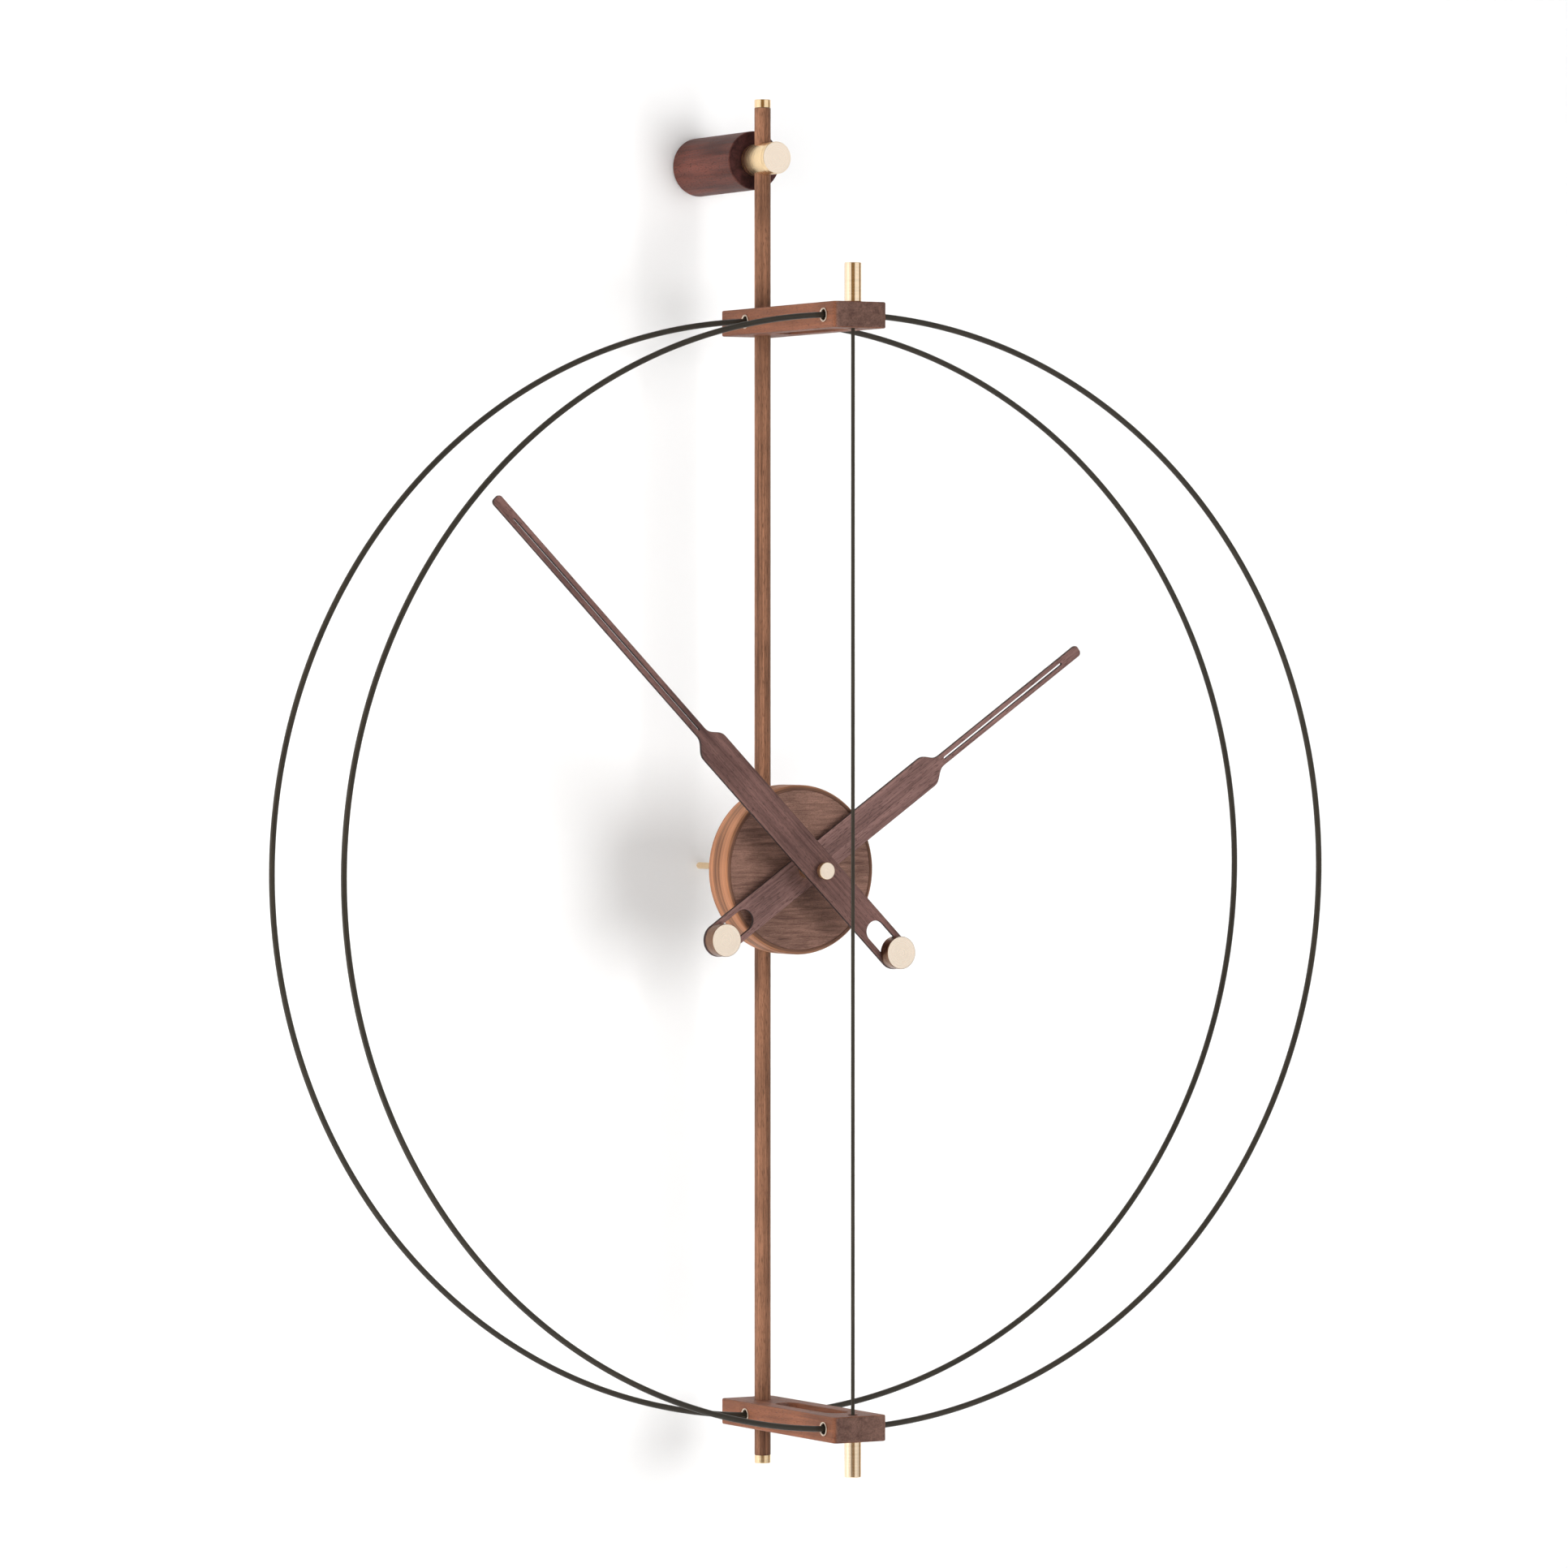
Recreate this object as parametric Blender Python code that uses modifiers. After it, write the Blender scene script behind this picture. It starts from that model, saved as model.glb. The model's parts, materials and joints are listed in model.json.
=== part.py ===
"""Ring-frame wall clock: a walnut upright hangs from a brass clamp, two sprung double hoops stand
between walnut blocks, and a walnut drum in the middle carries a quartz movement and two hands.

World frame: the origin is the centre of the wall plate's rear face, +X is right seen from the
front, +Y goes into the wall and +Z is up. Sizes below are in millimetres. A piece is placed by
x, by its distance forward of the upright's axis, and by its height above the hub's centre.
"""

from math import asin, cos, pi, radians, sin, sqrt

import bmesh
import bpy
from mathutils import Vector

MM = 0.001

# Driving dimensions, in millimetres.
WALL_TO_ROD = 79.4
BOSS_ABOVE_HUB = 424.3

ROD_R = 4.85
ROD_BORE_R = 5.0
ROD_TOP = 460.0
ROD_BOTTOM = -356.8
FERRULE_LENGTH = 4.9

BLOCK_WIDTH = 35.6
BLOCK_HEIGHT = 15.4
BLOCK_REAR = -19.9
BLOCK_FRONT = 116.9
BLOCK_MID = 326.4
BLOCK_CORNER = 2.4
SLOT_HALF_WIDTH = 7.4
SLOT_REAR = 23.5
SLOT_FRONT = 94.5

HOOP_HALF_WIDTH = 330.5
HOOP_ROD_R = 1.75
HOOP_END_X = 6.8
REAR_HOOP = 10.5
FRONT_HOOP = 104.1
HOOP_STEPS = 36

TENSION_ROD = 107.5
TENSION_ROD_R = 1.1
TENSIONER_R = 5.0
TENSIONER_TOP = 357.3
TENSIONER_BOTTOM = -355.3

HUB_R = 50.4
HUB_WALL = 2.8
HUB_REAR = 24.0
HUB_FRONT = 45.6
HUB_FACE_THICK = 3.0
HUB_BACK_THICK = 2.2

CASE_HALF_WIDTH = 28.0
CASE_BOTTOM = -31.0
CASE_TOP = 25.0
CASE_SPLIT = 33.0
CASE_WALL = 1.2
BAY_TOP = -14.4
GEAR_ROOM_BOTTOM = -13.4

HAND_THICK = 2.2
HAND_HALF_WIDTH = 10.0
BLADE_HALF_WIDTH = 3.45
TIP_CORNER = 2.4
WINDOW_HALF_WIDTH = 6.4
WINDOW_START = 45.0
SLOT_IN_BLADE_HALF_WIDTH = 0.75
WEIGHT_R = 9.7

HOUR_REAR = 50.2
HOUR_REACH = 231.5
HOUR_SHOULDER = (99.5, 115.5)
HOUR_SLOT = (115.8, 216.5)
HOUR_TAIL = 71.2
HOUR_ANGLE = 55.4
HOUR_WEIGHT_FACE = 60.8

MINUTE_REAR = 70.3
MINUTE_REACH = 307.5
MINUTE_SHOULDER = (101.5, 117.5)
MINUTE_SLOT = (117.8, 291.0)
MINUTE_TAIL = 69.4
MINUTE_ANGLE = -45.0
MINUTE_WEIGHT_FACE = 80.6

# Gear train: arbor positions (x, height) and pitch radii. Teeth stop short of their pitch circle.
MOTION_AT = (10.6, 10.6)
THIRD_AT = (-9.5, 9.6)
SECONDS_AT = (-15.9, 3.2)
STEP_AT = (-15.9, -4.0)
ROTOR_AT = (-10.65, -4.0)
TOOTH_GAP = 0.12

FRONTWARD = (pi / 2, 0, 0)
UPWARD = (0, 0, 0)
RIGHTWARD = (0, pi / 2, 0)
LEFTWARD = (0, -pi / 2, 0)


def clear_scene():
    for obj in list(bpy.data.objects):
        bpy.data.objects.remove(obj, do_unlink=True)


def new_collection(name):
    collection = bpy.data.collections.new(name)
    bpy.context.scene.collection.children.link(collection)
    return collection


clear_scene()
CLOCK = new_collection("ring_frame_clock")
CUTTERS = new_collection("cutters")
CUTTERS.hide_render = True


def material(name, color, roughness, metallic=0.0):
    made = bpy.data.materials.new(name)
    made.use_nodes = True
    shader = made.node_tree.nodes["Principled BSDF"]
    shader.inputs["Base Color"].default_value = (*color, 1.0)
    shader.inputs["Roughness"].default_value = roughness
    shader.inputs["Metallic"].default_value = metallic
    made.diffuse_color = (*color, 1.0)
    return made


WALNUT = (0.24, 0.12, 0.07)
DARK_WALNUT = (0.16, 0.085, 0.06)
BRASS = (0.80, 0.62, 0.36)
STEEL = (0.62, 0.62, 0.63)
HOOP_BLACK = (0.045, 0.038, 0.028)
PLASTIC_BLACK = (0.03, 0.03, 0.032)

FINISHES = {
    "walnut": (WALNUT, 0.5, 0.0),
    "dark_walnut": (DARK_WALNUT, 0.5, 0.0),
    "brass": (BRASS, 0.3, 1.0),
    "steel": (STEEL, 0.35, 1.0),
    "ferrule": ((0.72, 0.68, 0.62), 0.3, 1.0),
    "hoop": (HOOP_BLACK, 0.4, 0.0),
    "black_plastic": (PLASTIC_BLACK, 0.5, 0.0),
    "white_plastic": ((0.75, 0.74, 0.7), 0.45, 0.0),
    "battery_wrap": ((0.12, 0.25, 0.32), 0.35, 0.0),
    "board": ((0.05, 0.2, 0.09), 0.5, 0.0),
    "copper": ((0.72, 0.35, 0.2), 0.35, 1.0),
}


def at(x, forward, height):
    """World point of a place given in millimetres from the upright's axis and the hub's centre."""
    return Vector((x, -WALL_TO_ROD - forward, height - BOSS_ABOVE_HUB)) * MM


def add_object(name, bm, place, turn, finish, smooth=False):
    """A finish of None makes a cutter."""
    mesh = bpy.data.meshes.new(name)
    bmesh.ops.recalc_face_normals(bm, faces=bm.faces)
    bm.to_mesh(mesh)
    bm.free()
    if smooth:
        mesh.polygons.foreach_set("use_smooth", [True] * len(mesh.polygons))
        mesh.set_sharp_from_angle(angle=radians(35))
    obj = bpy.data.objects.new(name, mesh)
    obj.location = place
    obj.rotation_euler = turn
    if finish is None:
        obj.display_type = "WIRE"
        obj.hide_render = True
        CUTTERS.objects.link(obj)
    else:
        obj.data.materials.append(material(name + "_" + finish, *FINISHES[finish]))
        CLOCK.objects.link(obj)
    return obj


def turned(name, profile, place, turn, finish, steps=20):
    """Turns (radius, along) points about the axis. A profile off the axis is closed into a ring."""
    bm = bmesh.new()
    verts = [bm.verts.new((r * MM, 0, along * MM)) for r, along in profile]
    edges = [bm.edges.new(pair) for pair in zip(verts, verts[1:])]
    if profile[0][0] > 0:
        edges.append(bm.edges.new((verts[-1], verts[0])))
    bmesh.ops.spin(
        bm,
        geom=verts + edges,
        cent=(0, 0, 0),
        axis=(0, 0, 1),
        angle=2 * pi,
        steps=steps,
        use_merge=True,
    )
    bmesh.ops.remove_doubles(bm, verts=bm.verts, dist=1e-6)
    bmesh.ops.dissolve_degenerate(bm, edges=bm.edges, dist=1e-7)
    return add_object(name, bm, place, turn, finish, smooth=True)


def rod_profile(radius, low, high, chamfer=0.0):
    """Plain cylinder, with both edges broken when a chamfer is given."""
    if chamfer == 0.0:
        return [(0, low), (radius, low), (radius, high), (0, high)]
    inner = radius - chamfer
    lower = [(0, low), (inner, low), (radius, low + chamfer)]
    return lower + [(radius, high - chamfer), (inner, high), (0, high)]


def tube_profile(inner, outer, low, high):
    return [(inner, low), (outer, low), (outer, high), (inner, high)]


def slab(name, outline, low, high, place, turn, finish):
    """A flat outline of (x, y) points, from low to high along the local Z."""
    bm = bmesh.new()
    face = bm.faces.new([bm.verts.new((x * MM, y * MM, low * MM)) for x, y in outline])
    made = bmesh.ops.extrude_face_region(bm, geom=[face])
    top = [part for part in made["geom"] if isinstance(part, bmesh.types.BMVert)]
    bmesh.ops.translate(bm, verts=top, vec=(0, 0, (high - low) * MM))
    return add_object(name, bm, place, turn, finish)


def box(name, x, forward, height, finish, corner=0.0):
    """A box from (low, high) pairs. A corner radius rounds its four upright edges."""
    bm = bmesh.new()
    bmesh.ops.create_cube(bm, size=1.0)
    size = Vector((x[1] - x[0], forward[1] - forward[0], height[1] - height[0])) * MM
    bmesh.ops.scale(bm, verts=bm.verts, vec=size)
    if corner:
        upright = [e for e in bm.edges if abs(e.verts[0].co.z - e.verts[1].co.z) > size.z / 2]
        bmesh.ops.bevel(bm, geom=upright, offset=corner * MM, segments=4, profile=0.5, affect="EDGES")
    centre = at(sum(x) / 2, sum(forward) / 2, sum(height) / 2)
    return add_object(name, bm, centre, UPWARD, finish)


def boolean(target, other, operation):
    modifier = target.modifiers.new(other.name, "BOOLEAN")
    modifier.operation = operation
    modifier.solver = "EXACT"
    modifier.object = other


def cut(target, *cutters):
    for cutter in cutters:
        boolean(target, cutter, "DIFFERENCE")


def join(target, *others):
    for other in others:
        boolean(target, other, "UNION")


def arc(cx, cy, radius, start, stop, steps):
    """Points of an arc, angles in degrees."""
    angles = [radians(start + (stop - start) * i / steps) for i in range(steps + 1)]
    return [(cx + radius * cos(a), cy + radius * sin(a)) for a in angles]


def stadium(half_width, low, high, steps=8):
    """A slot outline with round ends, lying along the local Y from low to high."""
    return arc(0, high - half_width, half_width, 0, 180, steps) + arc(
        0, low + half_width, half_width, 180, 360, steps
    )


def zigzag(radius, teeth, depth):
    """A toothed outline: tips at radius, roots one depth lower."""
    points = []
    for i in range(2 * teeth):
        r = radius if i % 2 == 0 else radius - depth
        points.append((r * cos(pi * i / teeth), r * sin(pi * i / teeth)))
    return points


# --- Bracket on the wall, and the clamp that the upright hangs in


def build_bracket():
    wall = at(0, -WALL_TO_ROD, BOSS_ABOVE_HUB)
    plate = turned(
        "wall_plate", [(0, 0), (15, 0), (15, 3), (2.5, 3), (2.5, 40), (0, 40)], wall, FRONTWARD, "steel", 24
    )
    for side in (-1, 1):
        screw_hole = turned(
            f"plate_hole_{side}",
            [(0, -1), (2.1, -1), (2.1, 1), (4.2, 3.1), (0, 3.1)],
            wall + Vector((side * 9 * MM, 0, 0)),
            FRONTWARD,
            None,
            16,
        )
        cut(plate, screw_hole)
    boss = turned(
        "wall_boss",
        [
            (0, 42),
            (2.7, 42),
            (2.7, 3.3),
            (15.3, 3.3),
            (15.3, 0),
            (17.0, 0),
            (17.6, 0.6),
            (17.6, 68.7),
            (16.8, 69.5),
            (5.2, 69.5),
            (5.2, 52),
            (0, 52),
        ],
        wall,
        FRONTWARD,
        "walnut",
        24,
    )
    grub_at = at(0, -49.4, BOSS_ABOVE_HUB)
    turned("boss_grub_screw", rod_profile(1.35, -16.9, -2.75), grub_at, UPWARD, "steel", 12)
    pin_at = at(5.2, -18.6, BOSS_ABOVE_HUB)
    turned("clamp_pivot_pin", rod_profile(1.2, -15, 11, 0.2), pin_at, UPWARD, "steel", 12)
    cut(
        boss,
        turned("grub_hole", rod_profile(1.5, -20, -1), grub_at, UPWARD, None, 12),
        turned("pin_hole", rod_profile(1.35, -20, 12), pin_at, UPWARD, None, 12),
    )


def build_clamp():
    on_rod = at(0, 0, BOSS_ABOVE_HUB)
    barrel = turned(
        "clamp_barrel",
        [
            (0, -25.5),
            (4.6, -25.5),
            (5.0, -25.1),
            (5.0, -20.2),
            (3.9, -20.2),
            (3.9, -17.0),
            (5.0, -17.0),
            (5.0, -9.6),
            (9.1, -9.6),
            (9.6, -9.1),
            (9.6, 14.7),
            (9.3, 15.0),
            (5.2, 15.0),
            (5.2, 3.0),
            (0, 3.0),
        ],
        on_rod,
        FRONTWARD,
        "brass",
    )
    cut(barrel, turned("clamp_bore", rod_profile(ROD_BORE_R, -15, 15), on_rod, UPWARD, None))
    turned("clamp_pad", rod_profile(4.9, 5.15, 6.4), on_rod, FRONTWARD, "white_plastic", 20)
    turned(
        "clamp_cap",
        [
            (0, 6.7),
            (5.0, 6.7),
            (5.0, 15.2),
            (9.3, 15.2),
            (9.6, 15.5),
            (9.6, 16.9),
            (9.0, 17.5),
            (0, 17.5),
        ],
        on_rod,
        FRONTWARD,
        "brass",
    )


# --- Frame: upright, blocks, hoops and tension rod


def build_upright():
    axis = at(0, 0, 0)
    top = ROD_TOP - FERRULE_LENGTH
    bottom = ROD_BOTTOM + FERRULE_LENGTH
    turned(
        "main_rod",
        [
            (0, bottom - 2.3),
            (3.2, bottom - 2.3),
            (3.2, bottom + 0.2),
            (ROD_R, bottom + 0.2),
            (ROD_R, top - 0.2),
            (3.2, top - 0.2),
            (3.2, top + 2.3),
            (0, top + 2.3),
        ],
        axis,
        UPWARD,
        "walnut",
    )
    for name, seam, end, sign in (("top", top, ROD_TOP, 1), ("bottom", bottom, ROD_BOTTOM, -1)):
        turned(
            f"rod_ferrule_{name}",
            [
                (0, seam + 2.6 * sign),
                (3.4, seam + 2.6 * sign),
                (3.4, seam),
                (ROD_R, seam),
                (ROD_R, end - 0.5 * sign),
                (ROD_R - 0.5, end),
                (0, end),
            ],
            axis,
            UPWARD,
            "brass",
        )


def build_block(name, middle, outward):
    """A bridge block. outward is +1 for the upper block, whose tensioner stands above it."""
    half = BLOCK_WIDTH / 2
    height = (middle - BLOCK_HEIGHT / 2, middle + BLOCK_HEIGHT / 2)
    block = box(f"{name}_block", (-half, half), (BLOCK_REAR, BLOCK_FRONT), height, "walnut", BLOCK_CORNER)
    bevel = block.modifiers.new("softened_edges", "BEVEL")
    bevel.width = 0.7 * MM
    bevel.segments = 1
    bevel.limit_method = "ANGLE"
    bevel.angle_limit = radians(50)
    reach = BLOCK_HEIGHT / 2 + 2
    centre = at(0, 0, middle)
    line = at(0, TENSION_ROD, middle)
    slot = stadium(SLOT_HALF_WIDTH, -SLOT_FRONT, -SLOT_REAR)
    cut(
        block,
        turned(f"{name}_rod_hole", rod_profile(ROD_BORE_R, -reach, reach), centre, UPWARD, None),
        slab(f"{name}_slot", slot, -reach, reach, centre, UPWARD, None),
        turned(f"{name}_line_hole", rod_profile(3.1, -reach, reach), line, UPWARD, None, 20),
        turned(f"{name}_screw_hole", rod_profile(1.6, -21, -4), centre, FRONTWARD, None, 12),
    )
    turned(f"block_screw_{name}", rod_profile(1.4, -19.4, -5.1), centre, FRONTWARD, "steel", 12)
    for side, turn, sign in (("left", LEFTWARD, -1), ("right", RIGHTWARD, 1)):
        for plane, forward in (("rear", REAR_HOOP), ("front", FRONT_HOOP)):
            on_face = at(sign * half, forward, middle)
            turned(
                f"eyelet_{name}_{plane}_{side}",
                [(2.6, -5.8), (3.45, -5.8), (3.45, 0.1), (4.15, 0.1), (4.15, 0.8), (2.6, 0.8)],
                on_face,
                turn,
                "ferrule",
                12,
            )
            depth = half - HOOP_END_X + 0.4
            socket = turned(
                f"{name}_{plane}_{side}_socket",
                [(0, -depth), (1.95, -depth), (1.95, -6.1), (3.65, -6.1), (3.65, 1), (0, 1)],
                on_face,
                turn,
                None,
                12,
            )
            cut(block, socket)
    low, high = BLOCK_MID - 0.9, BLOCK_MID + BLOCK_HEIGHT / 2 + 0.3
    end = TENSIONER_TOP if outward > 0 else -TENSIONER_BOTTOM
    profile = [
        (0, end - 9.8),
        (1.3, end - 9.8),
        (1.3, low),
        (2.8, low),
        (2.8, high),
        (TENSIONER_R, high),
        (TENSIONER_R, end - 0.6),
        (TENSIONER_R - 0.6, end),
        (0, end),
    ]
    placed = "top" if outward > 0 else "bottom"
    profile = [(r, outward * z) for r, z in profile]
    turned(f"tensioner_{placed}", profile, at(0, TENSION_ROD, 0), UPWARD, "brass", 24)


def hoop_points(sign):
    """Centre line of a half hoop: an ellipse whose ends run level into the blocks."""
    mouth = BLOCK_WIDTH / 2
    half_height = BLOCK_MID / sqrt(1 - (mouth / HOOP_HALF_WIDTH) ** 2)
    start = asin(BLOCK_MID / half_height)
    points = [(HOOP_END_X, BLOCK_MID)]
    for i in range(HOOP_STEPS + 1):
        angle = start * (1 - 2 * i / HOOP_STEPS)
        points.append((HOOP_HALF_WIDTH * cos(angle), half_height * sin(angle)))
    points.append((HOOP_END_X, -BLOCK_MID))
    return [(sign * x, z) for x, z in points]


def build_hoop(name, forward, sign):
    curve = bpy.data.curves.new(name, "CURVE")
    curve.dimensions = "3D"
    curve.bevel_depth = HOOP_ROD_R * MM
    curve.bevel_resolution = 2
    curve.use_fill_caps = True
    points = hoop_points(sign)
    spline = curve.splines.new("POLY")
    spline.points.add(len(points) - 1)
    for point, (x, z) in zip(spline.points, points):
        point.co = (x * MM, 0, z * MM, 1)
    spline.use_smooth = True
    curve.materials.append(material(name + "_hoop", *FINISHES["hoop"]))
    obj = bpy.data.objects.new(name, curve)
    obj.location = at(0, forward, 0)
    CLOCK.objects.link(obj)


def build_frame():
    build_upright()
    build_block("upper", BLOCK_MID, 1)
    build_block("lower", -BLOCK_MID, -1)
    for plane, forward in (("rear", REAR_HOOP), ("front", FRONT_HOOP)):
        build_hoop(f"{plane}_hoop_left", forward, -1)
        build_hoop(f"{plane}_hoop_right", forward, 1)
    turned(
        "tension_rod",
        rod_profile(TENSION_ROD_R, TENSIONER_BOTTOM + 10.2, TENSIONER_TOP - 10.2),
        at(0, TENSION_ROD, 0),
        UPWARD,
        "hoop",
        12,
    )


# --- Hub: the drum on the upright


def build_hub():
    centre = at(0, 0, 0)
    saddle = turned(
        "rod_saddle",
        [
            (0, 12),
            (1.7, 12),
            (1.7, 23.7),
            (7.0, 23.7),
            (7.5, 23.2),
            (7.5, -11.5),
            (7.0, -12),
            (2.15, -12),
            (2.15, -7),
            (0, -7),
        ],
        centre,
        FRONTWARD,
        "brass",
        20,
    )
    cut(saddle, turned("saddle_bore", rod_profile(ROD_BORE_R, -15, 15), centre, UPWARD, None))
    tip = 0.3 - WALL_TO_ROD
    turned(
        "wall_spacer_pin",
        [(0, tip), (1.0, tip + 0.1), (1.7, tip + 0.6), (2.0, tip + 1.5), (2.0, -7.3), (0, -7.3)],
        centre,
        FRONTWARD,
        "brass",
        20,
    )
    inner = HUB_R - HUB_WALL
    turned(
        "hub_rim",
        [
            (inner, HUB_REAR),
            (HUB_R - 0.6, HUB_REAR),
            (HUB_R, HUB_REAR + 0.6),
            (HUB_R, HUB_FRONT - 2.4),
            (HUB_R - 0.4, HUB_FRONT - 1.1),
            (HUB_R - 1.2, HUB_FRONT - 0.3),
            (HUB_R - 2.4, HUB_FRONT),
            (inner, HUB_FRONT),
        ],
        centre,
        FRONTWARD,
        "walnut",
        40,
    )
    turned(
        "hub_face",
        tube_profile(4.2, inner - 0.2, HUB_FRONT - HUB_FACE_THICK, HUB_FRONT),
        centre,
        FRONTWARD,
        "dark_walnut",
        40,
    )
    disc = rod_profile(inner - 0.2, HUB_REAR, HUB_REAR + HUB_BACK_THICK)
    back = turned("hub_back", disc, centre, FRONTWARD, "walnut", 40)
    knob_at = at(MOTION_AT[0], 0, MOTION_AT[1])
    cut(
        back,
        turned(
            "hub_screw_hole",
            [(0, 20), (1.8, 20), (1.8, 25.1), (3.6, 25.1), (3.6, 30), (0, 30)],
            centre,
            FRONTWARD,
            None,
            20,
        ),
        turned("knob_hole", rod_profile(5.2, 20, 30), knob_at, FRONTWARD, None, 20),
        box("battery_window", (-27, 27), (20, 30), (CASE_BOTTOM + 1, BAY_TOP + 0.9), None),
    )
    turned(
        "hub_screw",
        [(0, 12.3), (1.5, 12.3), (1.5, 25.3), (3.3, 25.3), (3.3, 26.0), (0, 26.0)],
        centre,
        FRONTWARD,
        "steel",
        16,
    )


# --- Quartz movement


def gear(name, place, parts, finish, arbor):
    """Toothed discs (radius, teeth, low, high) joined on a turned arbor."""
    body = turned(name, arbor, place, FRONTWARD, finish, 12)
    for i, (radius, teeth, low, high) in enumerate(parts):
        depth = 0.5 if radius > 3 else 0.28
        outline = zigzag(radius - TOOTH_GAP, teeth, depth)
        join(body, slab(f"{name}_teeth_{i}", outline, low, high, place, FRONTWARD, None))
    return body


def build_gears():
    gear(
        "minute_wheel",
        at(0, 0, 0),
        [(12.0, 48, 33.0, 34.0), (3.75, 8, 34.8, 36.6)],
        "brass",
        rod_profile(1.5, 27.9, 76.6),
    )
    motion_at = at(MOTION_AT[0], 0, MOTION_AT[1])
    gear(
        "motion_wheel",
        motion_at,
        [(11.25, 24, 35.2, 36.2), (3.0, 6, 37.6, 39.4)],
        "white_plastic",
        rod_profile(0.9, 26.3, 40.4),
    )
    turned(
        "setting_knob",
        [(0, 24.5), (3.6, 24.5), (4.0, 24.9), (4.0, 26.0), (0, 26.0)],
        motion_at,
        FRONTWARD,
        "black_plastic",
        20,
    )
    gear(
        "hour_wheel",
        at(0, 0, 0),
        [(12.0, 24, 38.0, 39.0)],
        "brass",
        rod_profile(2.5, 37.8, 55.4),
    )
    hour_bore = turned("hour_bore", rod_profile(1.75, 30, 60), at(0, 0, 0), FRONTWARD, None, 20)
    cut(bpy.data.objects["hour_wheel"], hour_bore)
    gear(
        "third_wheel",
        at(THIRD_AT[0], 0, THIRD_AT[1]),
        [(8.0, 45, 31.0, 31.8), (1.5, 6, 32.6, 34.4)],
        "white_plastic",
        rod_profile(0.5, 28.0, 40.9),
    )
    gear(
        "seconds_wheel",
        at(SECONDS_AT[0], 0, SECONDS_AT[1]),
        [(6.0, 30, 29.0, 29.8), (1.07, 6, 30.6, 32.2)],
        "white_plastic",
        rod_profile(0.5, 28.0, 34.0),
    )
    gear(
        "step_wheel",
        at(STEP_AT[0], 0, STEP_AT[1]),
        [(4.5, 36, 31.4, 32.0), (1.2, 6, 28.8, 30.0)],
        "white_plastic",
        rod_profile(0.5, 28.0, 32.6),
    )
    gear(
        "rotor",
        at(ROTOR_AT[0], 0, ROTOR_AT[1]),
        [(0.75, 6, 31.3, 32.4)],
        "steel",
        [
            (0, 28.0),
            (0.35, 28.0),
            (0.35, 29.7),
            (2.2, 29.7),
            (2.2, 31.1),
            (0.35, 31.1),
            (0.35, 32.7),
            (0, 32.7),
        ],
    )


def build_movement():
    half = CASE_HALF_WIDTH
    room = (GEAR_ROOM_BOTTOM, CASE_TOP - CASE_WALL)
    bay = (CASE_BOTTOM + CASE_WALL, BAY_TOP)
    inside = (CASE_WALL - half, half - CASE_WALL)
    outside = (-half, half)
    heights = (CASE_BOTTOM, CASE_TOP)
    case = box("movement_case", outside, (CASE_SPLIT + 0.15, 42.3), heights, "black_plastic")
    cut(
        case,
        box("case_room", inside, (CASE_SPLIT - 1, 41.3), room, None),
        box("case_bay", inside, (CASE_SPLIT - 1, 41.5), bay, None),
    )
    join(case, turned("case_bush", rod_profile(3.9, 41.8, 49.6), at(0, 0, 0), FRONTWARD, None, 20))
    cut(case, turned("case_bush_bore", rod_profile(2.75, 38, 52), at(0, 0, 0), FRONTWARD, None, 20))
    knob_at = at(MOTION_AT[0], 0, MOTION_AT[1])
    cover = box("movement_cover", outside, (26.5, CASE_SPLIT - 0.15), heights, "black_plastic")
    cut(
        cover,
        box("cover_room", inside, (27.5, CASE_SPLIT + 1), room, None),
        box("cover_bay", inside, (26, CASE_SPLIT + 1), bay, None),
        turned("cover_knob_hole", rod_profile(1.3, 25, 29), knob_at, FRONTWARD, None, 16),
    )
    turned(
        "battery_cell",
        [(0, -25.3), (7.0, -25.3), (7.0, 24.2), (2.6, 24.2), (2.6, 25.2), (0, 25.2)],
        at(0, 34.2, -22.1),
        RIGHTWARD,
        "battery_wrap",
        20,
    )
    box("contact_positive", (25.6, 26.1), (30, 38.4), (-26.3, -17.9), "steel")
    box("contact_negative", (-26.2, -25.7), (30, 38.4), (-26.3, -17.9), "steel")
    box("circuit_board", (2.5, 25.5), (28.2, 29.2), (-12.4, 7.5), "board")
    turned("drive_coil", rod_profile(2.3, -25, -10.2, 0.3), at(0, 35.2, -10.5), RIGHTWARD, "copper", 20)
    rotor_at = at(ROTOR_AT[0], 0, ROTOR_AT[1])
    stator = box("coil_stator", (-14, -6), (30.0, 30.9), (-12.6, 0.6), "steel")
    cut(
        stator,
        turned("stator_hole", rod_profile(2.6, 29, 32), rotor_at, FRONTWARD, None, 20),
    )
    turned("fixing_washer", tube_profile(4.1, 7.5, 45.8, 46.4), at(0, 0, 0), FRONTWARD, "brass", 20)
    nut = turned("fixing_nut", rod_profile(6.3, 46.6, 48.8), at(0, 0, 0), FRONTWARD, "brass", 6)
    cut(nut, turned("nut_hole", rod_profile(4.1, 45, 50), at(0, 0, 0), FRONTWARD, None, 20))


# --- Hands


def smooth_step(u):
    return u * u * (3 - 2 * u)


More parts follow.
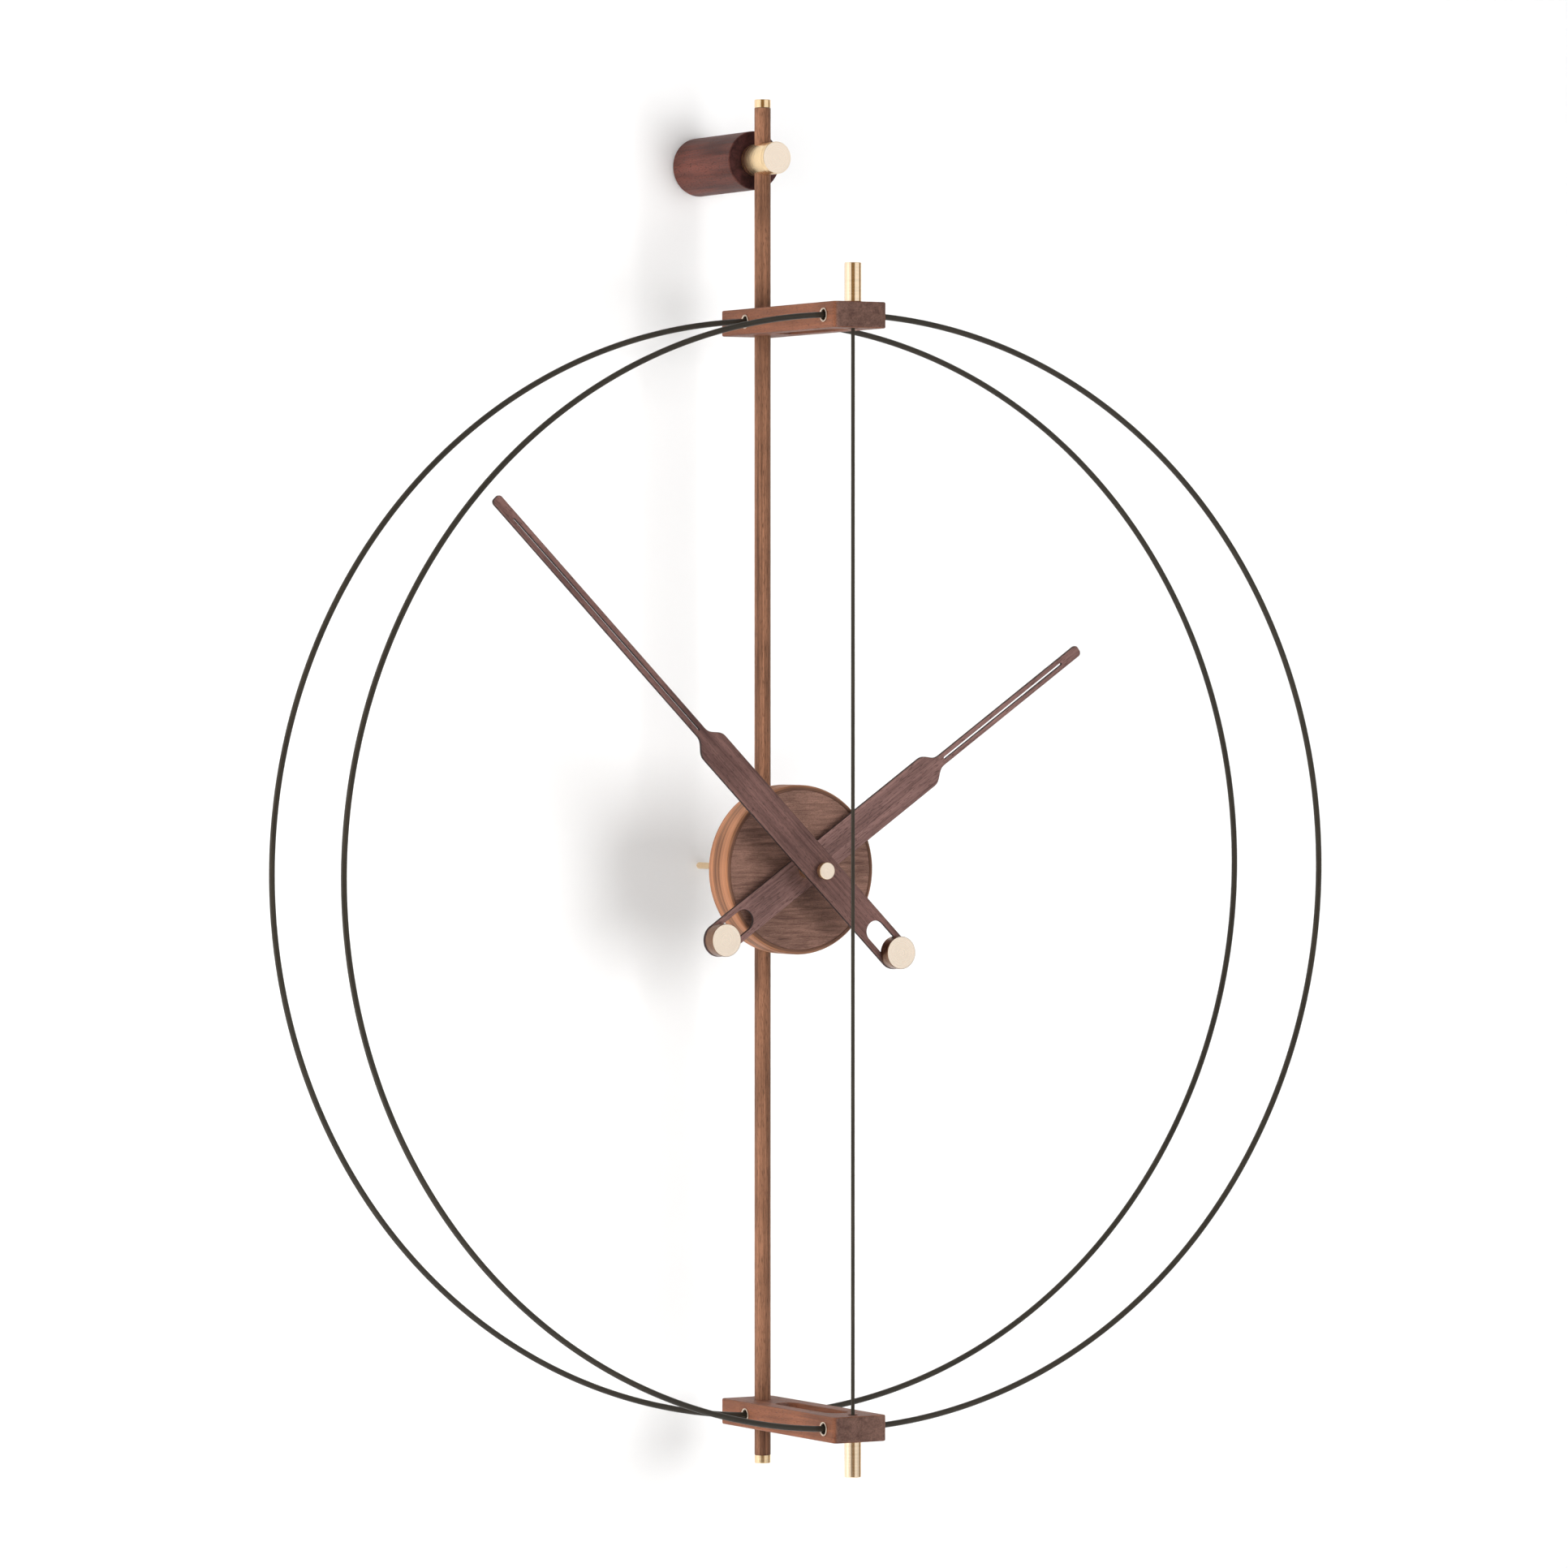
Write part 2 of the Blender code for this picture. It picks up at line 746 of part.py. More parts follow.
def hand_outline(reach, shoulder, tail):
    """Outline of a hand that points along +Y: blade, S-shaped shoulders, broad part and round tail."""
    low, high = shoulder
    steps = 8
    right = arc(0, -tail, HAND_HALF_WIDTH, -90, 0, 8)
    for i in range(steps + 1):
        half = HAND_HALF_WIDTH + (BLADE_HALF_WIDTH - HAND_HALF_WIDTH) * smooth_step(i / steps)
        right.append((half, low + (high - low) * i / steps))
    corner = BLADE_HALF_WIDTH - TIP_CORNER
    right += arc(corner, reach - TIP_CORNER, TIP_CORNER, 0, 90, 4)
    left = [(-x, y) for x, y in reversed(right)]
    return right + left[:-1]


def build_hand(name, rear, reach, shoulder, slot, tail, bore, angle):
    """A hand on the centre shaft, turned clockwise from twelve by its angle."""
    turn = (pi / 2, radians(angle), 0)
    centre = at(0, 0, 0)
    low, high = rear, rear + HAND_THICK
    hand = slab(name, hand_outline(reach, shoulder, tail), low, high, centre, turn, "dark_walnut")
    blade_slot = stadium(SLOT_IN_BLADE_HALF_WIDTH, slot[0], slot[1], 4)
    window = stadium(WINDOW_HALF_WIDTH, -tail - WINDOW_HALF_WIDTH, -WINDOW_START)
    cut(
        hand,
        slab(f"{name}_slot", blade_slot, low - 1, high + 1, centre, turn, None),
        slab(f"{name}_window", window, low - 1, high + 1, centre, turn, None),
        turned(f"{name}_bore", rod_profile(bore, low - 1, high + 1), centre, turn, None, 20),
    )


def build_weight(name, rear, face, skin, tail, angle):
    """A hollow brass cap over the tail, with a boss pressed into the end of the tail's window."""
    out = radians(angle)
    middle = at(-tail * sin(out), 0, -tail * cos(out))
    front = rear + HAND_THICK
    turned(
        name,
        [
            (0, rear - 0.1),
            (6.2, rear - 0.1),
            (6.2, front + 0.3),
            (1.6, front + 0.3),
            (1.6, face - skin),
            (WEIGHT_R - 0.6, face - skin),
            (WEIGHT_R - 0.6, front + 0.15),
            (WEIGHT_R, front + 0.15),
            (WEIGHT_R, face - 0.5),
            (WEIGHT_R - 0.5, face),
            (0, face),
        ],
        middle,
        FRONTWARD,
        "brass",
        24,
    )


def build_hands():
    centre = at(0, 0, 0)
    build_hand("hour_hand", HOUR_REAR, HOUR_REACH, HOUR_SHOULDER, HOUR_SLOT, HOUR_TAIL, 2.65, HOUR_ANGLE)
    build_weight("hour_weight", HOUR_REAR, HOUR_WEIGHT_FACE, 0.8, HOUR_TAIL, HOUR_ANGLE)
    hour_front = HOUR_REAR + HAND_THICK
    turned("hour_bush", tube_profile(2.65, 5.0, hour_front + 0.2, 58.2), centre, FRONTWARD, "brass", 20)
    build_hand(
        "minute_hand",
        MINUTE_REAR,
        MINUTE_REACH,
        MINUTE_SHOULDER,
        MINUTE_SLOT,
        MINUTE_TAIL,
        1.65,
        MINUTE_ANGLE,
    )
    build_weight("minute_weight", MINUTE_REAR, MINUTE_WEIGHT_FACE, 1.0, MINUTE_TAIL, MINUTE_ANGLE)
    turned("minute_bush", tube_profile(1.65, 4.0, 61.0, MINUTE_REAR - 0.2), centre, FRONTWARD, "brass", 20)
    front = MINUTE_REAR + HAND_THICK
    turned(
        "minute_nut",
        [
            (0, 76.9),
            (1.65, 76.9),
            (1.65, front + 0.2),
            (3.6, front + 0.2),
            (3.6, 73.9),
            (4.75, 73.9),
            (5.05, 74.2),
            (5.05, 77.4),
            (4.7, 77.8),
            (0, 77.8),
        ],
        centre,
        FRONTWARD,
        "brass",
        20,
    )


build_bracket()
build_clamp()
build_frame()
build_hub()
build_movement()
build_gears()
build_hands()
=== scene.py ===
"""Looks of the ring-frame wall clock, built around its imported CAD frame.

The object's sizes are in millimetres and turn into metres in at() and the mesh builders. The camera
and the stage are in metres. A piece is placed as in the CAD source: by x, by its distance forward of
the upright's axis, and by its height above the hub's centre. Each piece made here stands for one CAD
node and sits exactly where that node does.
"""

import json
from math import asin, cos, pi, radians, sin, sqrt, tan

import bmesh
import bpy
from mathutils import Euler, Matrix, Vector


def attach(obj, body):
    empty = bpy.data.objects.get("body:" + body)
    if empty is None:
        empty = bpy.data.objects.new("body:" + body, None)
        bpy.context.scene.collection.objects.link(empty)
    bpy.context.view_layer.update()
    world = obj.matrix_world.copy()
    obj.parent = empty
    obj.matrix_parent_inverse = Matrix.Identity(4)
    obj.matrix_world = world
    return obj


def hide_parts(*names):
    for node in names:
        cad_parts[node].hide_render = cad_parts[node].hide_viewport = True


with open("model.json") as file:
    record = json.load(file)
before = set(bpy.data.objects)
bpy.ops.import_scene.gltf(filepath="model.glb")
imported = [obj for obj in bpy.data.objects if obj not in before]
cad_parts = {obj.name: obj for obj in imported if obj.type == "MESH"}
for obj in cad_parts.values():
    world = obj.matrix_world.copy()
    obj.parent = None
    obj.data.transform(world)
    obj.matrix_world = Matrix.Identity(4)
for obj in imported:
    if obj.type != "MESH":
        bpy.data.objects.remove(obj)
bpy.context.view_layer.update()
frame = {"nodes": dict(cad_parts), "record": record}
BODY_OF = {node: body for body, nodes in frame["record"]["behaviour"]["bodies"].items() for node in nodes}

MM = 0.001

# Where the clock hangs, and its upright rod.
WALL_TO_ROD = 79.4
BOSS_ABOVE_HUB = 424.3
ROD_R = 4.85
ROD_BORE_R = 5.0
ROD_TOP = 460.0
ROD_BOTTOM = -356.8
FERRULE_LENGTH = 4.9

# Blocks, hoops and tension rod. HOOPS holds how far forward each pair of half hoops stands.
BLOCK_WIDTH = 35.6
BLOCK_HEIGHT = 15.4
BLOCK_REAR = -19.9
BLOCK_FRONT = 116.9
BLOCK_MID = 326.4
HOOP_HALF_WIDTH = 330.5
HOOP_ROD_R = 1.75
HOOP_END_X = 6.8
HOOPS = {"rear": 10.5, "front": 104.1}
TENSION_ROD = 107.5
TENSIONER_END = {"top": 357.3, "bottom": 355.3}

# Hub drum.
HUB_R = 50.4
HUB_REAR = 24.0
HUB_FRONT = 45.6
RIM_WALL = 2.8
KNOB_AT = (10.6, 10.6)

# Hands: rear and weight_face are distances forward, and the rest is measured from the centre shaft.
HAND_THICK = 2.2
HAND_HALF_WIDTH = 10.0
BLADE_HALF_WIDTH = 3.45
TIP_CORNER = 2.4
WINDOW_HALF_WIDTH = 6.4
WINDOW_TOP = -45.0
HANDS = {
    "hour": {
        "angle": 55.4,
        "rear": 50.2,
        "reach": 231.5,
        "shoulder": (99.5, 115.5),
        "slot": (115.8, 216.5),
        "slot_half_width": 0.75,
        "tail": 71.2,
        "bore": 2.65,
        "weight_face": 60.8,
        "weight_skin": 0.8,
        "tone": (0.168, 0.094, 0.084),
    },
    "minute": {
        "angle": -45.0,
        "rear": 70.3,
        "reach": 307.5,
        "shoulder": (101.5, 117.5),
        "slot": (117.8, 291.0),
        "slot_half_width": 0.45,
        "tail": 69.4,
        "bore": 1.65,
        "weight_face": 80.6,
        "weight_skin": 1.0,
        "tone": (0.134, 0.071, 0.062),
    },
}

# Turns that bring a local Z axis to the named direction.
FRONTWARD = (pi / 2, 0, 0)
UPWARD = (0, 0, 0)
RIGHTWARD = (0, pi / 2, 0)
LEFTWARD = (0, -pi / 2, 0)


def at(x, forward, height):
    return Vector((x, -WALL_TO_ROD - forward, height - BOSS_ABOVE_HUB)) * MM


def shade(color, factor):
    return tuple(c * factor for c in color)


def grey(level):
    return (level,) * 3


HUB_CENTRE = at(0, 0, 0)
BOSS_AXIS = at(0, 0, BOSS_ABOVE_HUB)


# --- Node trees


class Nodes:
    """Adds nodes to a shader tree. An input takes a value or the output of another node."""

    def __init__(self, tree):
        self.tree = tree

    def put(self, socket, value):
        if isinstance(value, bpy.types.NodeSocket):
            self.tree.links.new(value, socket)
        else:
            socket.default_value = value

    def node(self, kind, inputs=None, **settings):
        made = self.tree.nodes.new("ShaderNode" + kind)
        for key, value in settings.items():
            setattr(made, key, value)
        for key, value in (inputs or {}).items():
            self.put(made.inputs[key], value)
        return made

    def calc(self, operation, a, b=0.0, c=0.0):
        return self.node("Math", {0: a, 1: b, 2: c}, operation=operation).outputs[0]

    def remap(self, value, low, high, to_low=0.0, to_high=1.0, **settings):
        return self.node(
            "MapRange",
            {"Value": value, "From Min": low, "From Max": high, "To Min": to_low, "To Max": to_high},
            **settings,
        ).outputs[0]

    def ramp(self, value, *stops):
        made = self.node("ValToRGB", {"Fac": value})
        elements = made.color_ramp.elements
        while len(elements) < len(stops):
            elements.new(0.5)
        for element, (position, color) in zip(elements, stops):
            element.position = position
            element.color = (*color, 1)
        return made.outputs["Color"]

    def mix(self, factor, a, b, blend="MIX"):
        made = self.node("Mix", data_type="RGBA", blend_type=blend)
        for index, value in ((0, factor), (6, a), (7, b)):
            if not isinstance(value, bpy.types.NodeSocket) and index:
                value = (*value, 1)
            self.put(made.inputs[index], value)
        return made.outputs[2]

    def choose(self, factor, otherwise, chosen):
        """One of two shaders."""
        return self.node("MixShader", {0: factor, 1: otherwise, 2: chosen}).outputs[0]


class Finish(Nodes):
    """Builds a material, so that each look below reads as a short recipe."""

    def __init__(self, name):
        self.material = bpy.data.materials.new(name)
        self.material.use_nodes = True
        super().__init__(self.material.node_tree)
        self.shader = self.tree.nodes["Principled BSDF"]

    def position(self, place, turn, scale=(1, 1, 1)):
        """Points counted from a place, along turned axes, in units of scale."""
        return self.node(
            "Mapping",
            {
                "Vector": self.node("TexCoord").outputs["Object"],
                "Location": place,
                "Rotation": turn,
                "Scale": scale,
            },
            vector_type="TEXTURE",
        ).outputs[0]

    def cells(self, size):
        """Points counted from the origin in cells of one size, for patterns without a direction."""
        return self.position((0, 0, 0), (0, 0, 0), (size,) * 3)

    def around(self, place, turn, width, length):
        """Points for streaks that run round an axis: width across them, length along them."""
        local = self.position(place, turn)
        split = self.node("SeparateXYZ", {0: local})
        flat = self.node("CombineXYZ", {0: split.outputs[0], 1: split.outputs[1], 2: 0.0}).outputs[0]
        radius = self.node("VectorMath", {0: flat}, operation="LENGTH").outputs["Value"]
        across = self.node("CombineXYZ", {0: radius, 1: split.outputs[2], 2: 0.0}).outputs[0]
        fine = self.node("VectorMath", {0: across, "Scale": 1 / width}, operation="SCALE").outputs[0]
        slow = self.node("VectorMath", {0: local, "Scale": 1 / length}, operation="SCALE").outputs[0]
        return self.node("VectorMath", {0: fine, 1: slow}, operation="ADD").outputs[0]

    def noise(self, vector, scale=1.0, detail=3.0, roughness=0.55, distortion=0.0):
        return self.node(
            "TexNoise",
            {
                "Vector": vector,
                "Scale": scale,
                "Detail": detail,
                "Roughness": roughness,
                "Distortion": distortion,
            },
        ).outputs[0]

    def facing(self, turn):
        """From 0 on a side face to 1 on a face square to the turned Z axis."""
        normal = self.node("TexCoord").outputs["Normal"]
        axis = Euler(turn).to_matrix() @ Vector((0, 0, 1))
        along = self.node("VectorMath", {0: normal, 1: axis}, operation="DOT_PRODUCT").outputs["Value"]
        return self.remap(self.calc("ABSOLUTE", along), 0.72, 0.96)

    def bump(self, height, distance, strength=1.0):
        made = self.node("Bump", {"Height": height, "Distance": distance, "Strength": strength})
        self.put(self.shader.inputs["Normal"], made.outputs[0])

    def set(self, **inputs):
        for key, value in inputs.items():
            self.put(self.shader.inputs[key.replace("_", " ")], value)
        return self.material


# --- Camera, light and stage

# The camera as fitted to the photograph: degrees round from the front and above level, and metres.
CAMERA_LENS = 167.14
CAMERA_AZIMUTH = -29.689
CAMERA_ELEVATION = 0.757
CAMERA_TARGET = (0.00974, -0.08825, -0.3738)
CAMERA_DISTANCE = 4.3593

LIGHT_TARGET = (0.0, -0.05, -0.38)
WALL_Y = 0.0006
WALL_HALF_WIDTH = 1.9
WALL_TOP = 1.6
FLOOR_Z = -1.35
FLOOR_HALF_WIDTH = 4.0

# What metal reflects, by compass direction: 0 is left along the wall, 0.25 is straight in front of
# the clock, 0.5 is right along the wall, and the rest up to 1 lies behind it.
WARM_DARK = (0.26, 0.165, 0.08)
CARDS = (
    (0.0, grey(1.10)),
    (0.085, grey(1.10)),
    (0.11, WARM_DARK),
    (0.225, WARM_DARK),
    (0.25, grey(1.0)),
    (0.41, grey(1.0)),
    (0.44, WARM_DARK),
    (0.5, WARM_DARK),
    (0.70, grey(0.24)),
    (0.80, grey(0.85)),
    (0.87, grey(0.85)),
    (0.92, grey(0.42)),
    (0.96, grey(0.45)),
    (0.985, grey(1.10)),
)
# The soft light from all round, from straight below at 0 to straight above at 1.
SOFT_LIGHT = ((0.0, grey(0.14)), (0.35, grey(0.19)), (0.65, grey(0.24)), (1.0, grey(0.42)))
# The cards fade into the soft light where a direction points this steeply up or down.
CARDS_END = (0.55, 0.80)
BACKDROP = 0.93


def make_camera():
    data = bpy.data.cameras.new("camera")
    data.sensor_width = 36
    data.lens = CAMERA_LENS
    data.clip_start = 0.1
    data.clip_end = 60
    camera = bpy.data.objects.new("camera", data)
    bpy.context.scene.collection.objects.link(camera)
    turn, lift = radians(CAMERA_AZIMUTH), radians(CAMERA_ELEVATION)
    back = Vector((sin(turn) * cos(lift), -cos(turn) * cos(lift), sin(lift)))
    camera.location = Vector(CAMERA_TARGET) + back * CAMERA_DISTANCE
    camera.rotation_mode = "QUATERNION"
    camera.rotation_quaternion = (-back).to_track_quat("-Z", "Y")
    bpy.context.scene.camera = camera


def make_light(name, place, size, power, tint=(1, 1, 1)):
    """A soft box that the camera and the metal don't see."""
    data = bpy.data.lights.new(name, "AREA")
    data.shape = "RECTANGLE"
    data.size, data.size_y = size
    data.energy = power
    data.color = tint
    light = bpy.data.objects.new(name, data)
    light.location = place
    light.rotation_euler = (Vector(LIGHT_TARGET) - light.location).to_track_quat("-Z", "Y").to_euler()
    light.visible_camera = False
    light.visible_glossy = False
    bpy.context.scene.collection.objects.link(light)


def make_world():
    """Soft light from all round, a pale backdrop for the camera, and cards for the metal to reflect."""
    world = bpy.data.worlds.new("studio")
    bpy.context.scene.world = world
    world.use_nodes = True
    nodes = Nodes(world.node_tree)
    nodes.tree.nodes.clear()

    def glow(color):
        return nodes.node("Background", {"Color": color}).outputs[0]

    where = nodes.node("TexCoord").outputs["Generated"]
    compass = nodes.node("TexGradient", {"Vector": where}, gradient_type="RADIAL").outputs["Fac"]
    upward = nodes.node("SeparateXYZ", {0: where}).outputs["Z"]
    soft = nodes.ramp(nodes.remap(upward, -1.0, 1.0), *SOFT_LIGHT)
    steep = nodes.remap(nodes.calc("ABSOLUTE", upward), *CARDS_END, interpolation_type="SMOOTHSTEP")
    studio = nodes.mix(steep, nodes.ramp(compass, *CARDS), soft)
    ray = nodes.node("LightPath").outputs
    seen = nodes.choose(ray["Is Glossy Ray"], glow(soft), glow(studio))
    seen = nodes.choose(ray["Is Camera Ray"], seen, glow((*grey(BACKDROP), 1)))
    nodes.node("OutputWorld", {"Surface": seen})


def stage_material(name, level):
    """Matt and pale in front, and clear from behind, so that the object shows from every side."""
    finish = Finish(name)
    finish.set(Base_Color=(*grey(level), 1), Roughness=0.9, Specular_IOR_Level=0.1)
    behind = finish.node("NewGeometry").outputs["Backfacing"]
    clear = finish.node("BsdfTransparent").outputs[0]
    seen = finish.choose(behind, finish.shader.outputs[0], clear)
    finish.put(finish.tree.nodes["Material Output"].inputs["Surface"], seen)
    return finish.material


def make_sheet(name, corners, level):
    mesh = bpy.data.meshes.new(name)
    mesh.from_pydata(corners, [], [(0, 1, 2, 3)])
    mesh.materials.append(stage_material(name, level))
    obj = bpy.data.objects.new(name, mesh)
    bpy.context.scene.collection.objects.link(obj)


def make_stage():
    wide, far = WALL_HALF_WIDTH, FLOOR_HALF_WIDTH
    rectangle = ((-1, FLOOR_Z), (1, FLOOR_Z), (1, WALL_TOP), (-1, WALL_TOP))
    make_sheet("wall", [(side * wide, WALL_Y, z) for side, z in rectangle], 0.9)
    square = ((-far, -far), (far, -far), (far, far), (-far, far))
    make_sheet("floor", [(x, y, FLOOR_Z) for x, y in square], 0.82)
    bpy.context.scene.view_settings.view_transform = "Standard"
    make_world()
    make_light("key", (0.52, -2.3, -0.25), (1.2, 1.2), 36)
    make_light("left_fill", (-2.0, -0.48, -0.38), (0.8, 2.0), 48, (1.0, 0.985, 0.965))
    make_light("top_fill", (0.3, -1.2, 1.7), (1.6, 0.8), 4)


# --- Materials

BRASS = (0.90, 0.68, 0.42)
PALE_BRASS = (0.92, 0.785, 0.645)
# Brass for the weights' cup sides, painted dark: a painted reflection of the dark walnut round them.
BRASS_PAINTED_WALNUT_REFLECTION = (0.20, 0.105, 0.062)


def walnut(name, tone, points, contrast, distortion, end=None, end_grain_and_shade_tint=(0.5, 0.46, 0.56), cut=None):
    """Oiled walnut: broad bands, fine streaks, short dark pores, darker end grain, and painted shade where
    asked.

    points makes the grain's coordinates from the Finish. end is the turn whose square faces
    end_grain_and_shade_tint colours: darker end grain on the boss and the blocks, and painted shade on the
    hub rim's front face. cut is the turn of the outline's faces, and the side walls round them get painted
    shade, almost black.
    """
    finish = Finish(name)
    grain = points(finish)
    streak = finish.noise(grain, 1.0, 4.0, 0.62, distortion)
    band = finish.noise(grain, 0.23, 2.0, 0.5, distortion * 1.6)
    short = finish.node("VectorMath", {0: grain, 1: (1.0, 1.0, 4.0)}, operation="MULTIPLY").outputs[0]
    pore = finish.remap(finish.noise(short, 3.1, 1.0, 0.5), 0.56, 0.68)
    patch = finish.noise(finish.cells(0.045), 1.0, 2.0)
    blend = finish.calc("MULTIPLY_ADD", streak, 0.5, finish.calc("MULTIPLY", band, 0.5))
    blend = finish.calc("MULTIPLY_ADD", finish.calc("SUBTRACT", patch, 0.5), 0.35, blend)
    dark, light = 1 - 0.42 * contrast, 1 + 0.42 * contrast
    red = (tone[0] * dark * 1.02, tone[1] * dark * 0.94, tone[2] * dark * 0.98)
    color = finish.ramp(
        blend,
        (0.32, red),
        (0.45, shade(tone, 1 - 0.12 * contrast)),
        (0.54, shade(tone, 1 + 0.10 * contrast)),
        (0.70, shade(tone, light)),
    )
    color = finish.mix(finish.calc("MULTIPLY", pore, min(0.55 * contrast, 0.8)), color, shade(tone, 0.30))
    # Faces square to end take the tint: darker end grain, and on the hub rim painted shade.
    if end is not None:
        capped = finish.mix(1.0, color, end_grain_and_shade_tint, "MULTIPLY")
        color = finish.mix(finish.facing(end), color, capped)
    # The side walls round the cut turn get painted shade, almost black.
    if cut is not None:
        color = finish.mix(finish.facing(cut), shade(tone, 0.16), color)
    rough = finish.remap(streak, 0.3, 0.7, 0.46, 0.64)
    height = finish.calc("MULTIPLY_ADD", pore, -0.8, finish.calc("MULTIPLY", streak, 0.6))
    finish.bump(height, 0.00018, 0.7)
    return finish.set(Base_Color=color, Roughness=rough, Specular_IOR_Level=0.2)


def lying(turn, width, length, place=(0, 0, 0)):
    """Grain along a straight axis."""
    return lambda finish: finish.position(place, turn, (width * MM, width * MM, length * MM))


def circling(place, turn, width, length):
    """Grain round an axis."""
    return lambda finish: finish.around(place, turn, width * MM, length * MM)


def metal(name, place, turn, side, face=None, rough=(0.24, 0.38), width=0.3, depth=0.000003):
    """Lathe-turned satin metal: fine rings round its axis, and faces of their own colour if given.

    width is the rings' in millimetres, and depth is their relief in metres.
    """
    finish = Finish(name)
    ring = finish.noise(finish.around(place, turn, width * MM, 0.05), 1.0, 3.0, 0.6)
    smudge = finish.noise(finish.cells(0.009), 1.0, 2.0)
    color = finish.ramp(ring, (0.3, shade(side, 0.94)), (0.5, side), (0.72, shade(side, 1.04)))
    if face is not None:
        flat = finish.ramp(ring, (0.3, shade(face, 0.98)), (0.7, shade(face, 1.02)))
        color = finish.mix(finish.facing(turn), color, flat)
    grade = finish.calc("MULTIPLY_ADD", finish.calc("SUBTRACT", smudge, 0.5), 0.3, ring)
    finish.bump(ring, depth, 0.5)
    return finish.set(Base_Color=color, Roughness=finish.remap(grade, 0.3, 0.7, *rough), Metallic=1.0)


def moulded(name, color, rough=0.5, metallic=0.0, size=0.0011, spread=0.12, depth=0.00003):
    """Moulded, drawn or printed stock: a little mottling, and a fine texture in gloss and relief."""
    finish = Finish(name)
    grain = finish.noise(finish.cells(size), 1.0, 4.0, 0.6)
    cloud = finish.noise(finish.cells(size * 12), 1.0, 2.0)
    blend = finish.calc("MULTIPLY_ADD", grain, 0.5, finish.calc("MULTIPLY", cloud, 0.5))
    tint = finish.ramp(blend, (0.35, shade(color, 1 - spread)), (0.65, shade(color, 1 + spread)))
    finish.bump(grain, depth, 0.5)
    gloss = finish.remap(grain, 0.3, 0.7, rough - 0.08, rough + 0.08)
    return finish.set(Base_Color=tint, Roughness=gloss, Metallic=metallic)


def fibre(name, points):
    """Dark olive fibre rod with fine lengthwise streaks and a soft sheen."""
    finish = Finish(name)
    streak = finish.noise(points(finish), 1.0, 4.0, 0.6)
    cloud = finish.noise(finish.cells(0.03), 1.0, 2.0)
    blend = finish.calc("MULTIPLY_ADD", finish.calc("SUBTRACT", cloud, 0.5), 0.4, streak)
    color = finish.ramp(blend, (0.3, (0.012, 0.0095, 0.006)), (0.7, (0.028, 0.022, 0.0145)))
    finish.bump(streak, 0.00004, 0.6)
    gloss = finish.remap(blend, 0.3, 0.7, 0.36, 0.52)
    return finish.set(Base_Color=color, Roughness=gloss, Specular_IOR_Level=0.35)


# --- Mesh builders


def soften(profile, steps=4):
    """Rounds the corners of a list of (radius, along) or (radius, along, fillet) points."""
    points = []
    for i, corner in enumerate(profile):
        here = Vector(corner[:2])
        if len(corner) < 3 or i in (0, len(profile) - 1):
            points.append(here)
            continue
        before = (Vector(profile[i - 1][:2]) - here).normalized()
        after = (Vector(profile[i + 1][:2]) - here).normalized()
        half = before.angle(after) / 2
        reach = corner[2] / tan(half)
        centre = here + (before + after).normalized() * (corner[2] / sin(half))
        start, stop = here + before * reach - centre, here + after * reach - centre
        for step in range(steps + 1):
            points.append(centre + start.slerp(stop, step / steps) * corner[2])
    return points


def placed(bm, place, turn):
    bm.transform(Matrix.Translation(place) @ Euler(turn).to_matrix().to_4x4())
    return bm


def lathe(profile, place, turn, segments=96):
    """Turns a profile round the local Z. One that stays off the axis closes into a ring."""
    points = soften(profile)
    bm = bmesh.new()
    rings = []
    for radius, along in points:
        if radius < 1e-6:
            rings.append([bm.verts.new((0, 0, along * MM))])
            continue
        angles = [2 * pi * i / segments for i in range(segments)]
        ring = [(radius * cos(a) * MM, radius * sin(a) * MM, along * MM) for a in angles]
        rings.append([bm.verts.new(point) for point in ring])
    pairs = list(zip(rings, rings[1:]))
    if len(rings[0]) > 1:
        pairs.append((rings[-1], rings[0]))
    for low, high in pairs:
        for i in range(segments):
            j = (i + 1) % segments
            corners = [low[i % len(low)], low[j % len(low)], high[j % len(high)], high[i % len(high)]]
            unique = list(dict.fromkeys(corners))
            if len(unique) > 2:
                bm.faces.new(unique)
    return placed(bm, place, turn)


def arc(cx, cy, radius, start, stop, steps):
    angles = [radians(start + (stop - start) * i / steps) for i in range(steps + 1)]
    return [(cx + radius * cos(a), cy + radius * sin(a)) for a in angles]


def circle(cx, cy, radius, steps=64):
    return arc(cx, cy, radius, 0, 360, steps)[:-1]


def stadium(half_width, low, high, steps=20):
    upper = arc(0, high - half_width, half_width, 0, 180, steps)
    return upper + arc(0, low + half_width, half_width, 180, 360, steps)


def rounded_box(x, y, corner, steps=8):
    points = []
    for cx, cy, start in ((x[1], y[1], 0), (x[0], y[1], 90), (x[0], y[0], 180), (x[1], y[0], 270)):
        inward_x = -corner if start in (0, 270) else corner
        inward_y = -corner if start in (0, 90) else corner
        points += arc(cx + inward_x, cy + inward_y, corner, start, start + 90, steps)
    return points


def swell(points, distance):
    """Moves an anticlockwise outline outwards, or inwards for a distance below 0."""
    moved = []
    for i, here in enumerate(points):
        here = Vector(here)
        before = (here - Vector(points[i - 1])).normalized()
        after = (Vector(points[(i + 1) % len(points)]) - here).normalized()
        normal = Vector((before.y + after.y, -before.x - after.x))
        normal = normal / (1 + before.dot(after))
        moved.append(here + normal * distance)
    return moved


